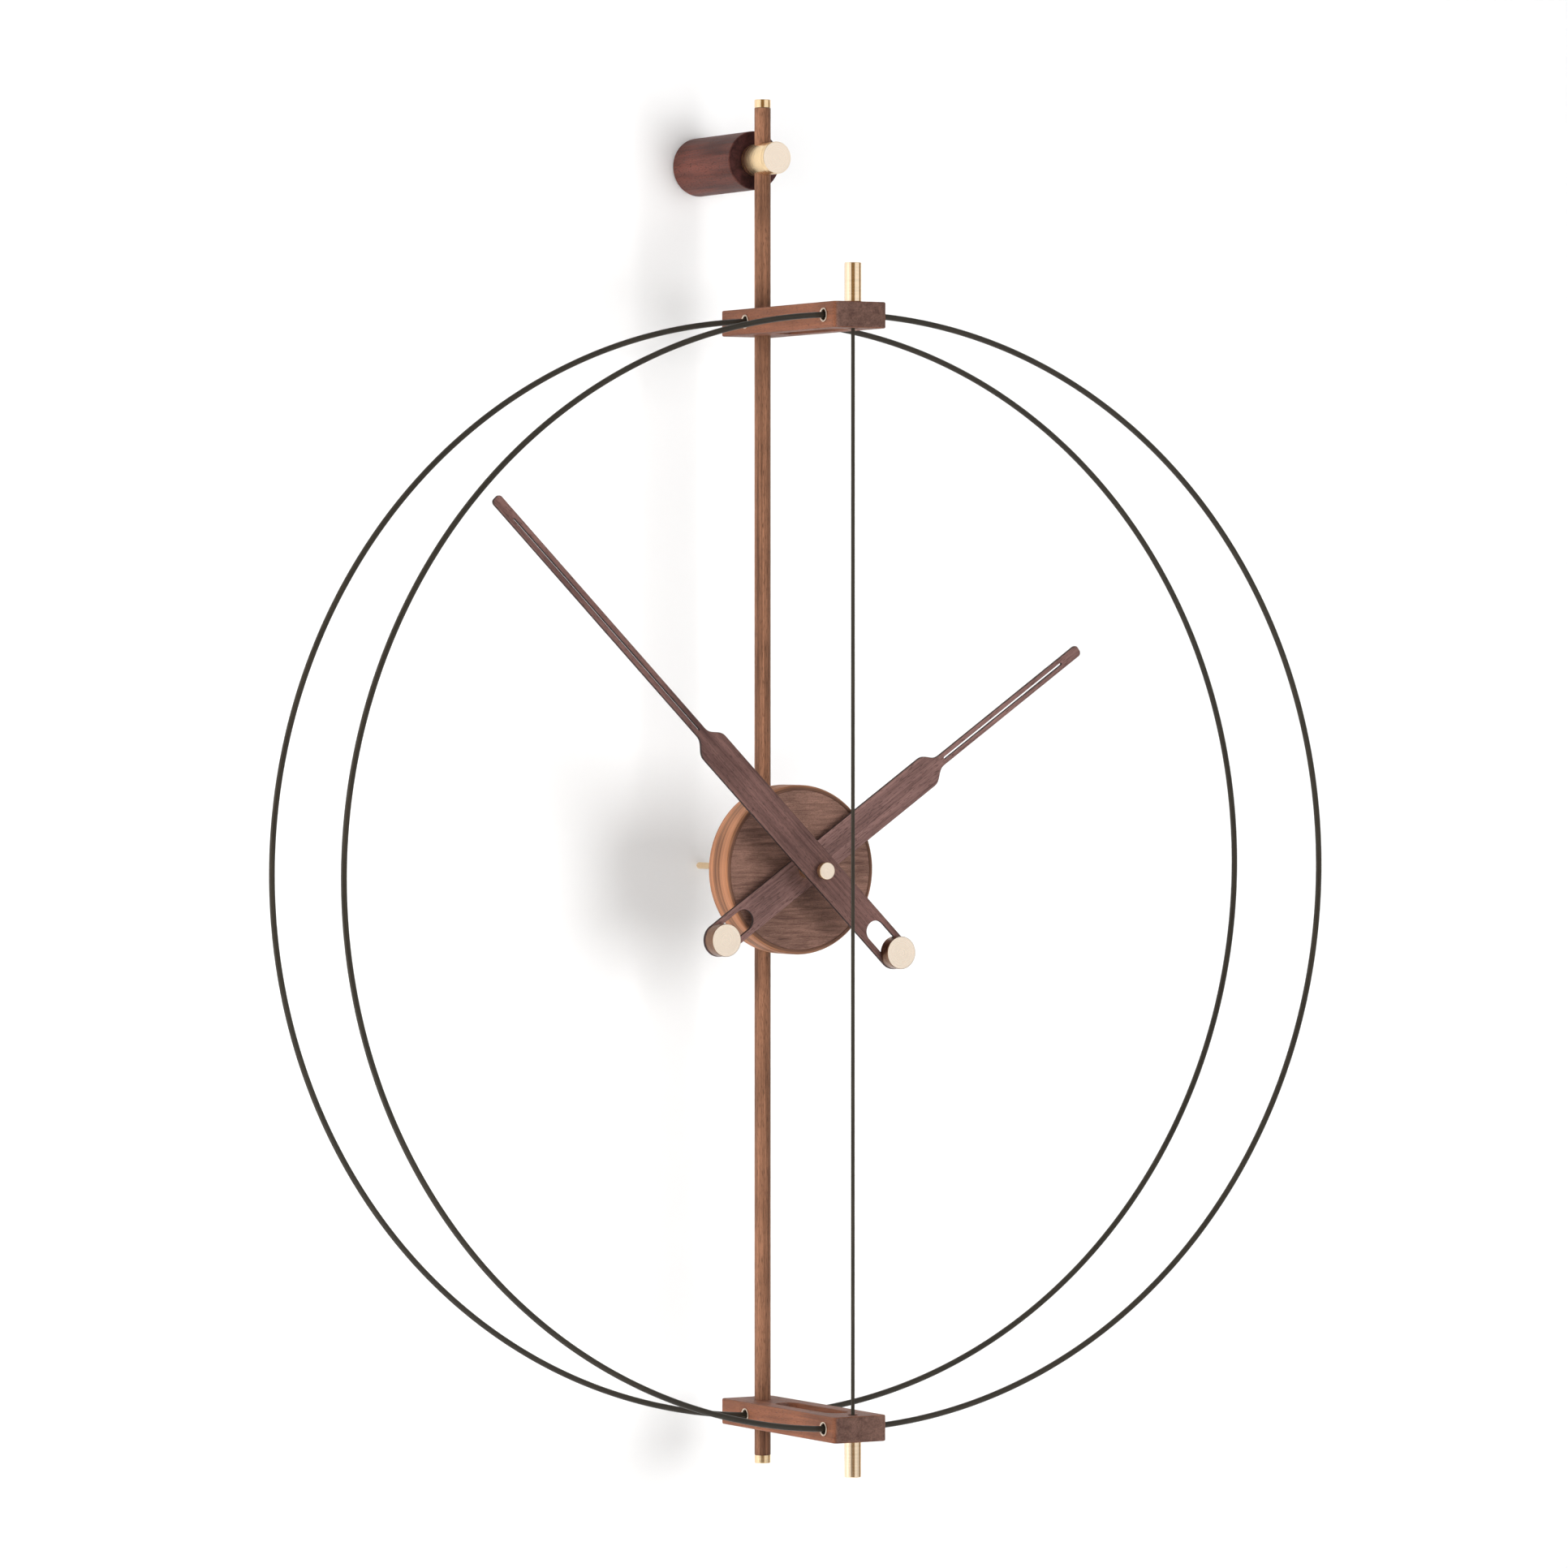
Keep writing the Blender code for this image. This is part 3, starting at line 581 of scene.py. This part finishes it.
def plate(outline, low, high, edge, place, turn, holes=(), steps=4):
    """A flat outline with (outline, edge) holes, all of its edges rounded."""
    bm = bmesh.new()
    caps = {0: [], 1: []}
    for points, radius, sign in [(outline, edge, -1)] + [(hole, rim, 1) for hole, rim in holes]:
        arcs = [radians(90 * i / steps) for i in range(steps + 1)]
        levels = [(radius * (1 - cos(a)), low + radius - radius * sin(a)) for a in reversed(arcs)]
        levels += [(radius * (1 - cos(a)), high - radius + radius * sin(a)) for a in arcs]
        rings = []
        for inset, level in levels:
            ring = [bm.verts.new((p.x * MM, p.y * MM, level * MM)) for p in swell(points, sign * inset)]
            rings.append(ring)
        for lower, upper in zip(rings, rings[1:]):
            for i in range(len(lower)):
                j = (i + 1) % len(lower)
                bm.faces.new((lower[i], lower[j], upper[j], upper[i]))
        for cap, ring in ((0, rings[0]), (1, rings[-1])):
            caps[cap] += [bm.edges.get((ring[i - 1], ring[i])) for i in range(len(ring))]
    for edges in caps.values():
        bmesh.ops.triangle_fill(bm, edges=edges, use_beauty=True)
    return placed(bm, place, turn)


def temporary(bm):
    bmesh.ops.recalc_face_normals(bm, faces=bm.faces)
    mesh = bpy.data.meshes.new("temporary")
    bm.to_mesh(mesh)
    bm.free()
    obj = bpy.data.objects.new("temporary", mesh)
    bpy.context.scene.collection.objects.link(obj)
    return obj


def carve(bm, *cutters):
    """The mesh with the cutters taken out of it."""
    target = temporary(bm)
    tools = [temporary(cutter) for cutter in cutters]
    for tool in tools:
        modifier = target.modifiers.new("cut", "BOOLEAN")
        modifier.operation = "DIFFERENCE"
        modifier.solver = "EXACT"
        modifier.object = tool
    mesh = bpy.data.meshes.new_from_object(target.evaluated_get(bpy.context.evaluated_depsgraph_get()))
    result = bmesh.new()
    result.from_mesh(mesh)
    for obj in [target] + tools:
        bpy.data.objects.remove(obj)
    return result


def show(node, bm, finish):
    """Adds the mesh as the piece that stands for a CAD node."""
    mesh = bpy.data.meshes.new(f"{node}_shown")
    bmesh.ops.remove_doubles(bm, verts=bm.verts, dist=1e-7)
    bmesh.ops.recalc_face_normals(bm, faces=bm.faces)
    bm.to_mesh(mesh)
    bm.free()
    mesh.polygons.foreach_set("use_smooth", [True] * len(mesh.polygons))
    mesh.set_sharp_from_angle(angle=radians(32))
    mesh.materials.append(finish)
    obj = bpy.data.objects.new(f"{node}_shown", mesh)
    bpy.context.scene.collection.objects.link(obj)
    obj.modifiers.new("even_shading", "WEIGHTED_NORMAL").keep_sharp = True
    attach(obj, BODY_OF[node])
    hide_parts(node)


def rod(radius, low, high, fillet=0.0):
    """The profile of a plain round rod."""
    if fillet == 0.0:
        return [(0, low), (radius, low), (radius, high), (0, high)]
    return [(0, low), (radius, low, fillet), (radius, high, fillet), (0, high)]


# --- Bracket and clamp


def make_bracket():
    wall = at(0, -WALL_TO_ROD, BOSS_ABOVE_HUB)
    steel = metal("turned_steel", wall, FRONTWARD, (0.62, 0.62, 0.63), rough=(0.28, 0.42))
    hole = [(0, -1), (2.1, -1), (2.1, 1), (4.2, 3.1), (0, 3.1)]
    holes = [lathe(hole, at(x, -WALL_TO_ROD, BOSS_ABOVE_HUB), FRONTWARD, 48) for x in (-9, 9)]
    plate_profile = [(0, 0), (15, 0, 0.3), (15, 3, 0.3), (2.5, 3), (2.5, 40, 0.3), (0, 40)]
    show("wall_plate", carve(lathe(plate_profile, wall, FRONTWARD), *holes), steel)
    boss = lathe(
        [
            (0, 42),
            (2.7, 42),
            (2.7, 3.3),
            (15.3, 3.3),
            (15.3, 0),
            (17.6, 0, 0.6),
            (17.6, 69.5, 0.9),
            (5.2, 69.5, 0.4),
            (5.2, 52),
            (0, 52),
        ],
        wall,
        FRONTWARD,
        128,
    )
    grub_at = at(0, -49.4, BOSS_ABOVE_HUB)
    pin_at = at(5.2, -18.6, BOSS_ABOVE_HUB)
    grub_hole = lathe(rod(1.5, -20, -1), grub_at, UPWARD, 32)
    pin_hole = lathe(rod(1.35, -20, 12), pin_at, UPWARD, 32)
    wood = walnut(
        "boss_walnut",
        (0.094, 0.031, 0.023),
        lying(FRONTWARD, 1.5, 26, wall),
        contrast=1.5,
        distortion=0.6,
        end=FRONTWARD,
        end_grain_and_shade_tint=(0.60, 0.62, 0.80),
    )
    show("wall_boss", carve(boss, grub_hole, pin_hole), wood)
    screw_steel = metal("screw_steel", grub_at, UPWARD, (0.55, 0.55, 0.56), rough=(0.25, 0.4))
    hexagon = plate(circle(0, 0, 0.75, 6), -18, -15.3, 0.05, grub_at, UPWARD)
    grub = carve(lathe(rod(1.35, -16.9, -2.75, 0.2), grub_at, UPWARD, 48), hexagon)
    show("boss_grub_screw", grub, screw_steel)
    show("clamp_pivot_pin", lathe(rod(1.2, -15, 11, 0.2), pin_at, UPWARD, 48), screw_steel)


def make_clamp():
    barrel = lathe(
        [
            (0, -25.5),
            (5.0, -25.5, 0.4),
            (5.0, -20.2),
            (3.9, -20.2),
            (3.9, -17.0),
            (5.0, -17.0),
            (5.0, -9.6),
            (9.6, -9.6, 0.55),
            (9.6, 15.0, 0.55),
            (5.2, 15.0),
            (5.2, 3.0),
            (0, 3.0),
        ],
        BOSS_AXIS,
        FRONTWARD,
        128,
    )
    barrel = carve(barrel, lathe(rod(ROD_BORE_R, -15, 15), BOSS_AXIS, UPWARD, 96))
    gold = (0.95, 0.72, 0.43)
    brass = metal("clamp_brass", BOSS_AXIS, FRONTWARD, gold, PALE_BRASS, (0.24, 0.34), 0.45)
    show("clamp_barrel", barrel, brass)
    cap = [(0, 6.7), (5.0, 6.7), (5.0, 15.2), (9.6, 15.2, 0.5), (9.6, 17.5, 0.5), (0, 17.5)]
    show("clamp_cap", lathe(cap, BOSS_AXIS, FRONTWARD, 128), brass)


# --- Frame


def make_upright():
    top, bottom = ROD_TOP - FERRULE_LENGTH, ROD_BOTTOM + FERRULE_LENGTH
    upright = [
        (0, bottom - 2.3),
        (3.2, bottom - 2.3),
        (3.2, bottom + 0.2),
        (ROD_R, bottom + 0.2, 0.15),
        (ROD_R, top - 0.2, 0.15),
        (3.2, top - 0.2),
        (3.2, top + 2.3),
        (0, top + 2.3),
    ]
    wood = walnut(
        "upright_walnut",
        (0.205, 0.096, 0.055),
        lying(UPWARD, 0.8, 50),
        contrast=1.6,
        distortion=0.5,
        end=UPWARD,
    )
    show("main_rod", lathe(upright, HUB_CENTRE, UPWARD, 96), wood)
    brass = metal("upright_brass", HUB_CENTRE, UPWARD, BRASS, PALE_BRASS, (0.14, 0.20), 1.6, 0.000002)
    for name, seam, end, sign in (("top", top, ROD_TOP, 1), ("bottom", bottom, ROD_BOTTOM, -1)):
        ferrule = [
            (0, seam + 2.6 * sign),
            (3.4, seam + 2.6 * sign),
            (3.4, seam),
            (ROD_R, seam, 0.1),
            (ROD_R, end, 0.45),
            (0, end),
        ]
        show(f"rod_ferrule_{name}", lathe(ferrule, HUB_CENTRE, UPWARD), brass)


def make_block(name, middle, wood):
    half, tall = BLOCK_WIDTH / 2, BLOCK_HEIGHT / 2
    centre = at(0, 0, middle)
    block = plate(
        rounded_box((-half, half), (-BLOCK_FRONT, -BLOCK_REAR), 2.9),
        -tall,
        tall,
        0.9,
        centre,
        UPWARD,
        [
            (circle(0, 0, ROD_BORE_R), 0.15),
            (stadium(7.4, -94.5, -23.5), 0.6),
            (circle(0, -TENSION_ROD, 3.1, 48), 0.2),
        ],
    )
    cutters = [lathe(rod(1.6, -21, -4), centre, FRONTWARD, 32)]
    socket = [(0, -11.4), (1.95, -11.4), (1.95, -6.1), (3.65, -6.1), (3.65, 1), (0, 1)]
    flange = [
        (2.6, -5.8),
        (3.45, -5.8),
        (3.45, 0.1),
        (4.15, 0.1, 0.1),
        (4.15, 0.5, 0.15),
        (3.75, 0.8, 0.2),
        (3.2, 0.2, 0.2),
        (3.2, -5.2),
        (2.6, -5.2),
    ]
    for side, turn, sign in (("left", LEFTWARD, -1), ("right", RIGHTWARD, 1)):
        for plane, forward in HOOPS.items():
            on_face = at(sign * half, forward, middle)
            cutters.append(lathe(socket, on_face, turn, 48))
            place = f"{name}_{plane}_{side}"
            ring = metal(f"eyelet_metal_{place}", on_face, turn, (0.62, 0.52, 0.42), rough=(0.3, 0.42))
            show(f"eyelet_{place}", lathe(flange, on_face, turn, 48), ring)
    show(f"{name}_block", carve(block, *cutters), wood)
    steel = metal(f"block_steel_{name}", centre, FRONTWARD, (0.5, 0.5, 0.51), rough=(0.25, 0.4))
    hexagon = plate(circle(0, 0, 0.8, 6), -20.5, -17.6, 0.05, centre, FRONTWARD)
    screw = carve(lathe(rod(1.4, -19.4, -5.1, 0.2), centre, FRONTWARD, 48), hexagon)
    show(f"block_screw_{name}", screw, steel)


def hoop_path(sign, steps=260):
    """Centre line of a half hoop: an ellipse whose ends run level into the blocks."""
    mouth = BLOCK_WIDTH / 2
    half_height = BLOCK_MID / sqrt(1 - (mouth / HOOP_HALF_WIDTH) ** 2)
    start = asin(BLOCK_MID / half_height)
    points = [(HOOP_END_X, BLOCK_MID)]
    for i in range(steps + 1):
        angle = start * (1 - 2 * i / steps)
        points.append((HOOP_HALF_WIDTH * cos(angle), half_height * sin(angle)))
    points.append((HOOP_END_X, -BLOCK_MID))
    return [Vector((sign * x, 0, z)) * MM for x, z in points]


def bent_rod(points, radius, sides=20):
    """A round rod along a path in the XZ plane."""
    bm = bmesh.new()
    rings = []
    for i, here in enumerate(points):
        along = (points[min(i + 1, len(points) - 1)] - points[max(i - 1, 0)]).normalized()
        outward = Vector((along.z, 0, -along.x))
        ring = []
        for k in range(sides):
            angle = 2 * pi * k / sides
            spoke = outward * cos(angle) + Vector((0, sin(angle), 0))
            ring.append(bm.verts.new(here + spoke * radius * MM))
        rings.append(ring)
    for low, high in zip(rings, rings[1:]):
        for i in range(sides):
            j = (i + 1) % sides
            bm.faces.new((low[i], low[j], high[j], high[i]))
    bm.faces.new(rings[0])
    bm.faces.new(reversed(rings[-1]))
    return bm


def make_frame():
    make_upright()
    wood = walnut(
        "block_walnut",
        (0.166, 0.063, 0.034),
        lying(FRONTWARD, 1.0, 34),
        contrast=1.1,
        distortion=0.4,
        end=FRONTWARD,
        end_grain_and_shade_tint=(0.80, 1.15, 1.65),
    )
    make_block("upper", BLOCK_MID, wood)
    make_block("lower", -BLOCK_MID, wood)
    hoop_finish = fibre("hoop_fibre", circling(HUB_CENTRE, FRONTWARD, 0.5, 30))
    for plane, forward in HOOPS.items():
        for side, sign in (("left", -1), ("right", 1)):
            hoop = placed(bent_rod(hoop_path(sign), HOOP_ROD_R), at(0, forward, 0), UPWARD)
            show(f"{plane}_hoop_{side}", hoop, hoop_finish)
    line = at(0, TENSION_ROD, 0)
    line_finish = fibre("tension_fibre", lying(UPWARD, 0.4, 30, line))
    show("tension_rod", lathe(rod(1.1, -345.1, 347.1, 0.1), line, UPWARD, 32), line_finish)
    cream = (0.93, 0.74, 0.53)
    brass = metal("tensioner_brass", line, UPWARD, cream, PALE_BRASS, (0.13, 0.18), 1.6, 0.000002)
    low, high = BLOCK_MID - 0.9, BLOCK_MID + BLOCK_HEIGHT / 2 + 0.3
    for name, sign in (("top", 1), ("bottom", -1)):
        end = TENSIONER_END[name]
        barrel = [
            (0, end - 9.8),
            (1.3, end - 9.8),
            (1.3, low),
            (2.8, low),
            (2.8, high),
            (5.0, high, 0.2),
            (5.0, end, 0.55),
            (0, end),
        ]
        turned = [(point[0], sign * point[1], *point[2:]) for point in barrel]
        show(f"tensioner_{name}", lathe(turned, line, UPWARD), brass)


# --- Hub


def make_hub():
    brass = metal("hub_brass", HUB_CENTRE, FRONTWARD, BRASS, PALE_BRASS)
    saddle = lathe(
        [
            (0, 12),
            (1.7, 12),
            (1.7, 23.7),
            (7.5, 23.7, 0.5),
            (7.5, -12, 0.5),
            (2.15, -12),
            (2.15, -7),
            (0, -7),
        ],
        HUB_CENTRE,
        FRONTWARD,
    )
    saddle = carve(saddle, lathe(rod(ROD_BORE_R, -15, 15), HUB_CENTRE, UPWARD, 96))
    show("rod_saddle", saddle, brass)
    tip = 0.3 - WALL_TO_ROD
    pin = [(0, tip), (2.0, tip, 1.3), (2.0, -7.3), (0, -7.3)]
    show("wall_spacer_pin", lathe(pin, HUB_CENTRE, FRONTWARD, 48), brass)
    inner = HUB_R - RIM_WALL
    rim_profile = [
        (inner, HUB_REAR),
        (HUB_R, HUB_REAR, 0.6),
        (HUB_R, HUB_FRONT, 2.3),
        (inner, HUB_FRONT),
    ]
    # The rim's front face takes painted shade through the end tint, darker than its sides.
    rim_wood = walnut(
        "rim_walnut",
        (0.250, 0.110, 0.056),
        circling(HUB_CENTRE, FRONTWARD, 1.2, 60),
        contrast=1.7,
        distortion=0.6,
        end=FRONTWARD,
        end_grain_and_shade_tint=(0.50, 0.56, 0.72),
    )
    show("hub_rim", lathe(rim_profile, HUB_CENTRE, FRONTWARD, 192), rim_wood)
    face_profile = [
        (4.2, HUB_FRONT - 3.0),
        (inner - 0.2, HUB_FRONT - 3.0),
        (inner - 0.2, HUB_FRONT, 0.2),
        (4.2, HUB_FRONT, 0.2),
        (4.2, HUB_FRONT - 1.0),
    ]
    face_wood = walnut("face_walnut", (0.198, 0.108, 0.082), lying(RIGHTWARD, 0.75, 9), 1.25, 0.9)
    show("hub_face", lathe(face_profile, HUB_CENTRE, FRONTWARD, 192), face_wood)
    back = plate(
        circle(0, 0, inner - 0.2, 160),
        HUB_REAR,
        HUB_REAR + 2.2,
        0.2,
        HUB_CENTRE,
        FRONTWARD,
        [
            (circle(0, 0, 1.8, 32), 0.15),
            (circle(*KNOB_AT, 5.2, 48), 0.3),
            (rounded_box((-27, 27), (-30, -13.5), 0.8), 0.3),
        ],
    )
    back_wood = walnut("back_walnut", (0.17, 0.080, 0.050), lying(RIGHTWARD, 1.2, 22), 0.9, 0.5)
    show("hub_back", back, back_wood)
    washer = [(4.1, 45.8), (7.5, 45.8, 0.1), (7.5, 46.4, 0.2), (4.1, 46.4)]
    show("fixing_washer", lathe(washer, HUB_CENTRE, FRONTWARD, 64), brass)
    nut = plate(circle(0, 0, 6.3, 6), 46.6, 48.8, 0.3, HUB_CENTRE, FRONTWARD, [(circle(0, 0, 4.1, 48), 0.2)])
    show("fixing_nut", nut, brass)
    cell = [
        (0, -25.3),
        (7.0, -25.3, 0.6),
        (7.0, 24.2, 0.9),
        (2.6, 24.2),
        (2.6, 25.2, 0.3),
        (0, 25.2),
    ]
    cell_at = at(0, 34.2, -22.1)
    jacket = moulded("cell_jacket", (0.10, 0.22, 0.30), 0.32, size=0.004, spread=0.15)
    show("battery_cell", lathe(cell, cell_at, RIGHTWARD, 64), jacket)
    ribs, steps = 20, 120
    knob = []
    for i in range(steps):
        angle = 2 * pi * i / steps
        radius = 3.9 + 0.1 * cos(ribs * angle)
        knob.append((radius * cos(angle), radius * sin(angle)))
    knob_at = at(KNOB_AT[0], 0, KNOB_AT[1])
    knob_finish = moulded("knob_plastic", (0.028, 0.028, 0.030), 0.45)
    show("setting_knob", plate(knob, 24.5, 26.0, 0.2, knob_at, FRONTWARD), knob_finish)


# --- Hands


def hand_outline(reach, shoulder, tail):
    """Outline of a hand that points along +Y: blade, S-shaped shoulders, broad part and round tail."""
    low, high = shoulder
    steps = 20
    right = arc(0, -tail, HAND_HALF_WIDTH, -90, 0, 20)
    for i in range(steps + 1):
        u = i / steps
        eased = u * u * (3 - 2 * u)
        eased = eased * eased * (3 - 2 * eased)
        half = HAND_HALF_WIDTH + (BLADE_HALF_WIDTH - HAND_HALF_WIDTH) * eased
        right.append((half, low + (high - low) * u))
    right += arc(BLADE_HALF_WIDTH - TIP_CORNER, reach - TIP_CORNER, TIP_CORNER, 0, 90, 10)
    left = [(-x, y) for x, y in reversed(right)]
    return right + left[:-1]


def make_hand(
    name, angle, rear, reach, shoulder, slot, slot_half_width, tail, bore, weight_face, weight_skin, tone
):
    hand = plate(
        hand_outline(reach, shoulder, tail),
        rear,
        rear + HAND_THICK,
        0.35,
        HUB_CENTRE,
        (pi / 2, radians(angle), 0),
        [
            (stadium(slot_half_width, *slot, 8), 0.08),
            (stadium(WINDOW_HALF_WIDTH, -tail - WINDOW_HALF_WIDTH, WINDOW_TOP), 0.3),
            (circle(0, 0, bore, 48), 0.1),
        ],
    )
    grain = lying((0, radians(angle), 0), 1.0, 40)
    # The hand's side walls get painted shade, almost black.
    wood = walnut(f"{name}_hand_walnut", tone, grain, 1.3, 0.5, cut=FRONTWARD)
    show(f"{name}_hand", hand, wood)
    make_weight(f"{name}_weight", rear, weight_face, weight_skin, tail, angle)


def make_weight(name, rear, face, skin, tail, angle):
    """A hollow brass cup in front of the tail, on a plug that sits in the end of its window."""
    out = radians(angle)
    middle = at(-tail * sin(out), 0, -tail * cos(out))
    front = rear + HAND_THICK
    cup = [
        (0, rear - 0.1),
        (6.2, rear - 0.1, 0.3),
        (6.2, front + 0.3),
        (1.6, front + 0.3),
        (1.6, face - skin),
        (9.1, face - skin),
        (9.1, front + 0.15),
        (9.7, front + 0.15, 0.1),
        (9.7, face, 0.5),
        (0, face),
    ]
    # The cup's sides carry the dark brass, a painted reflection of the walnut hand and hub.
    brass = metal(f"{name}_brass", middle, FRONTWARD, BRASS_PAINTED_WALNUT_REFLECTION, PALE_BRASS, (0.24, 0.34), 0.5)
    show(name, lathe(cup, middle, FRONTWARD, 112), brass)


def make_hands():
    for name, facts in HANDS.items():
        make_hand(name, **facts)
    brass = metal("hand_brass", HUB_CENTRE, FRONTWARD, BRASS, PALE_BRASS)
    hour_bush = [(2.65, 52.6), (5.0, 52.6, 0.1), (5.0, 58.2, 0.3), (2.65, 58.2)]
    show("hour_bush", lathe(hour_bush, HUB_CENTRE, FRONTWARD, 64), brass)
    minute_bush = [(1.65, 61.0), (4.0, 61.0, 0.3), (4.0, 70.1, 0.1), (1.65, 70.1)]
    show("minute_bush", lathe(minute_bush, HUB_CENTRE, FRONTWARD, 64), brass)
    nut = [
        (0, 76.9),
        (1.65, 76.9),
        (1.65, 72.7),
        (3.6, 72.7),
        (3.6, 73.9),
        (5.05, 73.9, 0.3),
        (5.05, 77.8, 0.4),
        (0, 77.8),
    ]
    show("minute_nut", lathe(nut, HUB_CENTRE, FRONTWARD, 80), brass)


# --- CAD nodes that stay


def dress_cad_nodes():
    """The movement and the other inner pieces keep their CAD shapes and get finished materials."""
    black = moulded("case_plastic", (0.026, 0.026, 0.028), 0.48)
    gear_brass = metal("gear_brass", HUB_CENTRE, FRONTWARD, BRASS, rough=(0.28, 0.42))
    acetal = moulded("pale_acetal", (0.74, 0.72, 0.67), 0.42)
    steel = moulded("sheet_steel", (0.60, 0.60, 0.61), 0.32, metallic=1.0, size=0.0006, spread=0.06)
    wire = (0.75, 0.36, 0.20)
    coil_at = at(0, 35.2, -10.5)
    gloss = (0.28, 0.45)
    copper = metal("coil_copper", coil_at, RIGHTWARD, wire, rough=gloss, width=0.25, depth=0.00006)
    board = moulded("board_resin", (0.045, 0.19, 0.085), 0.45, size=0.0009, spread=0.2)
    finishes = {
        "movement_case": black,
        "movement_cover": black,
        "minute_wheel": gear_brass,
        "hour_wheel": gear_brass,
        "motion_wheel": acetal,
        "third_wheel": acetal,
        "seconds_wheel": acetal,
        "step_wheel": acetal,
        "clamp_pad": acetal,
        "rotor": steel,
        "contact_positive": steel,
        "contact_negative": steel,
        "coil_stator": steel,
        "hub_screw": steel,
        "drive_coil": copper,
        "circuit_board": board,
    }
    for node, finish in finishes.items():
        slots = frame["nodes"][node].data.materials
        slots.clear()
        slots.append(finish)


make_camera()
make_stage()
make_bracket()
make_clamp()
make_frame()
make_hub()
make_hands()
dress_cad_nodes()
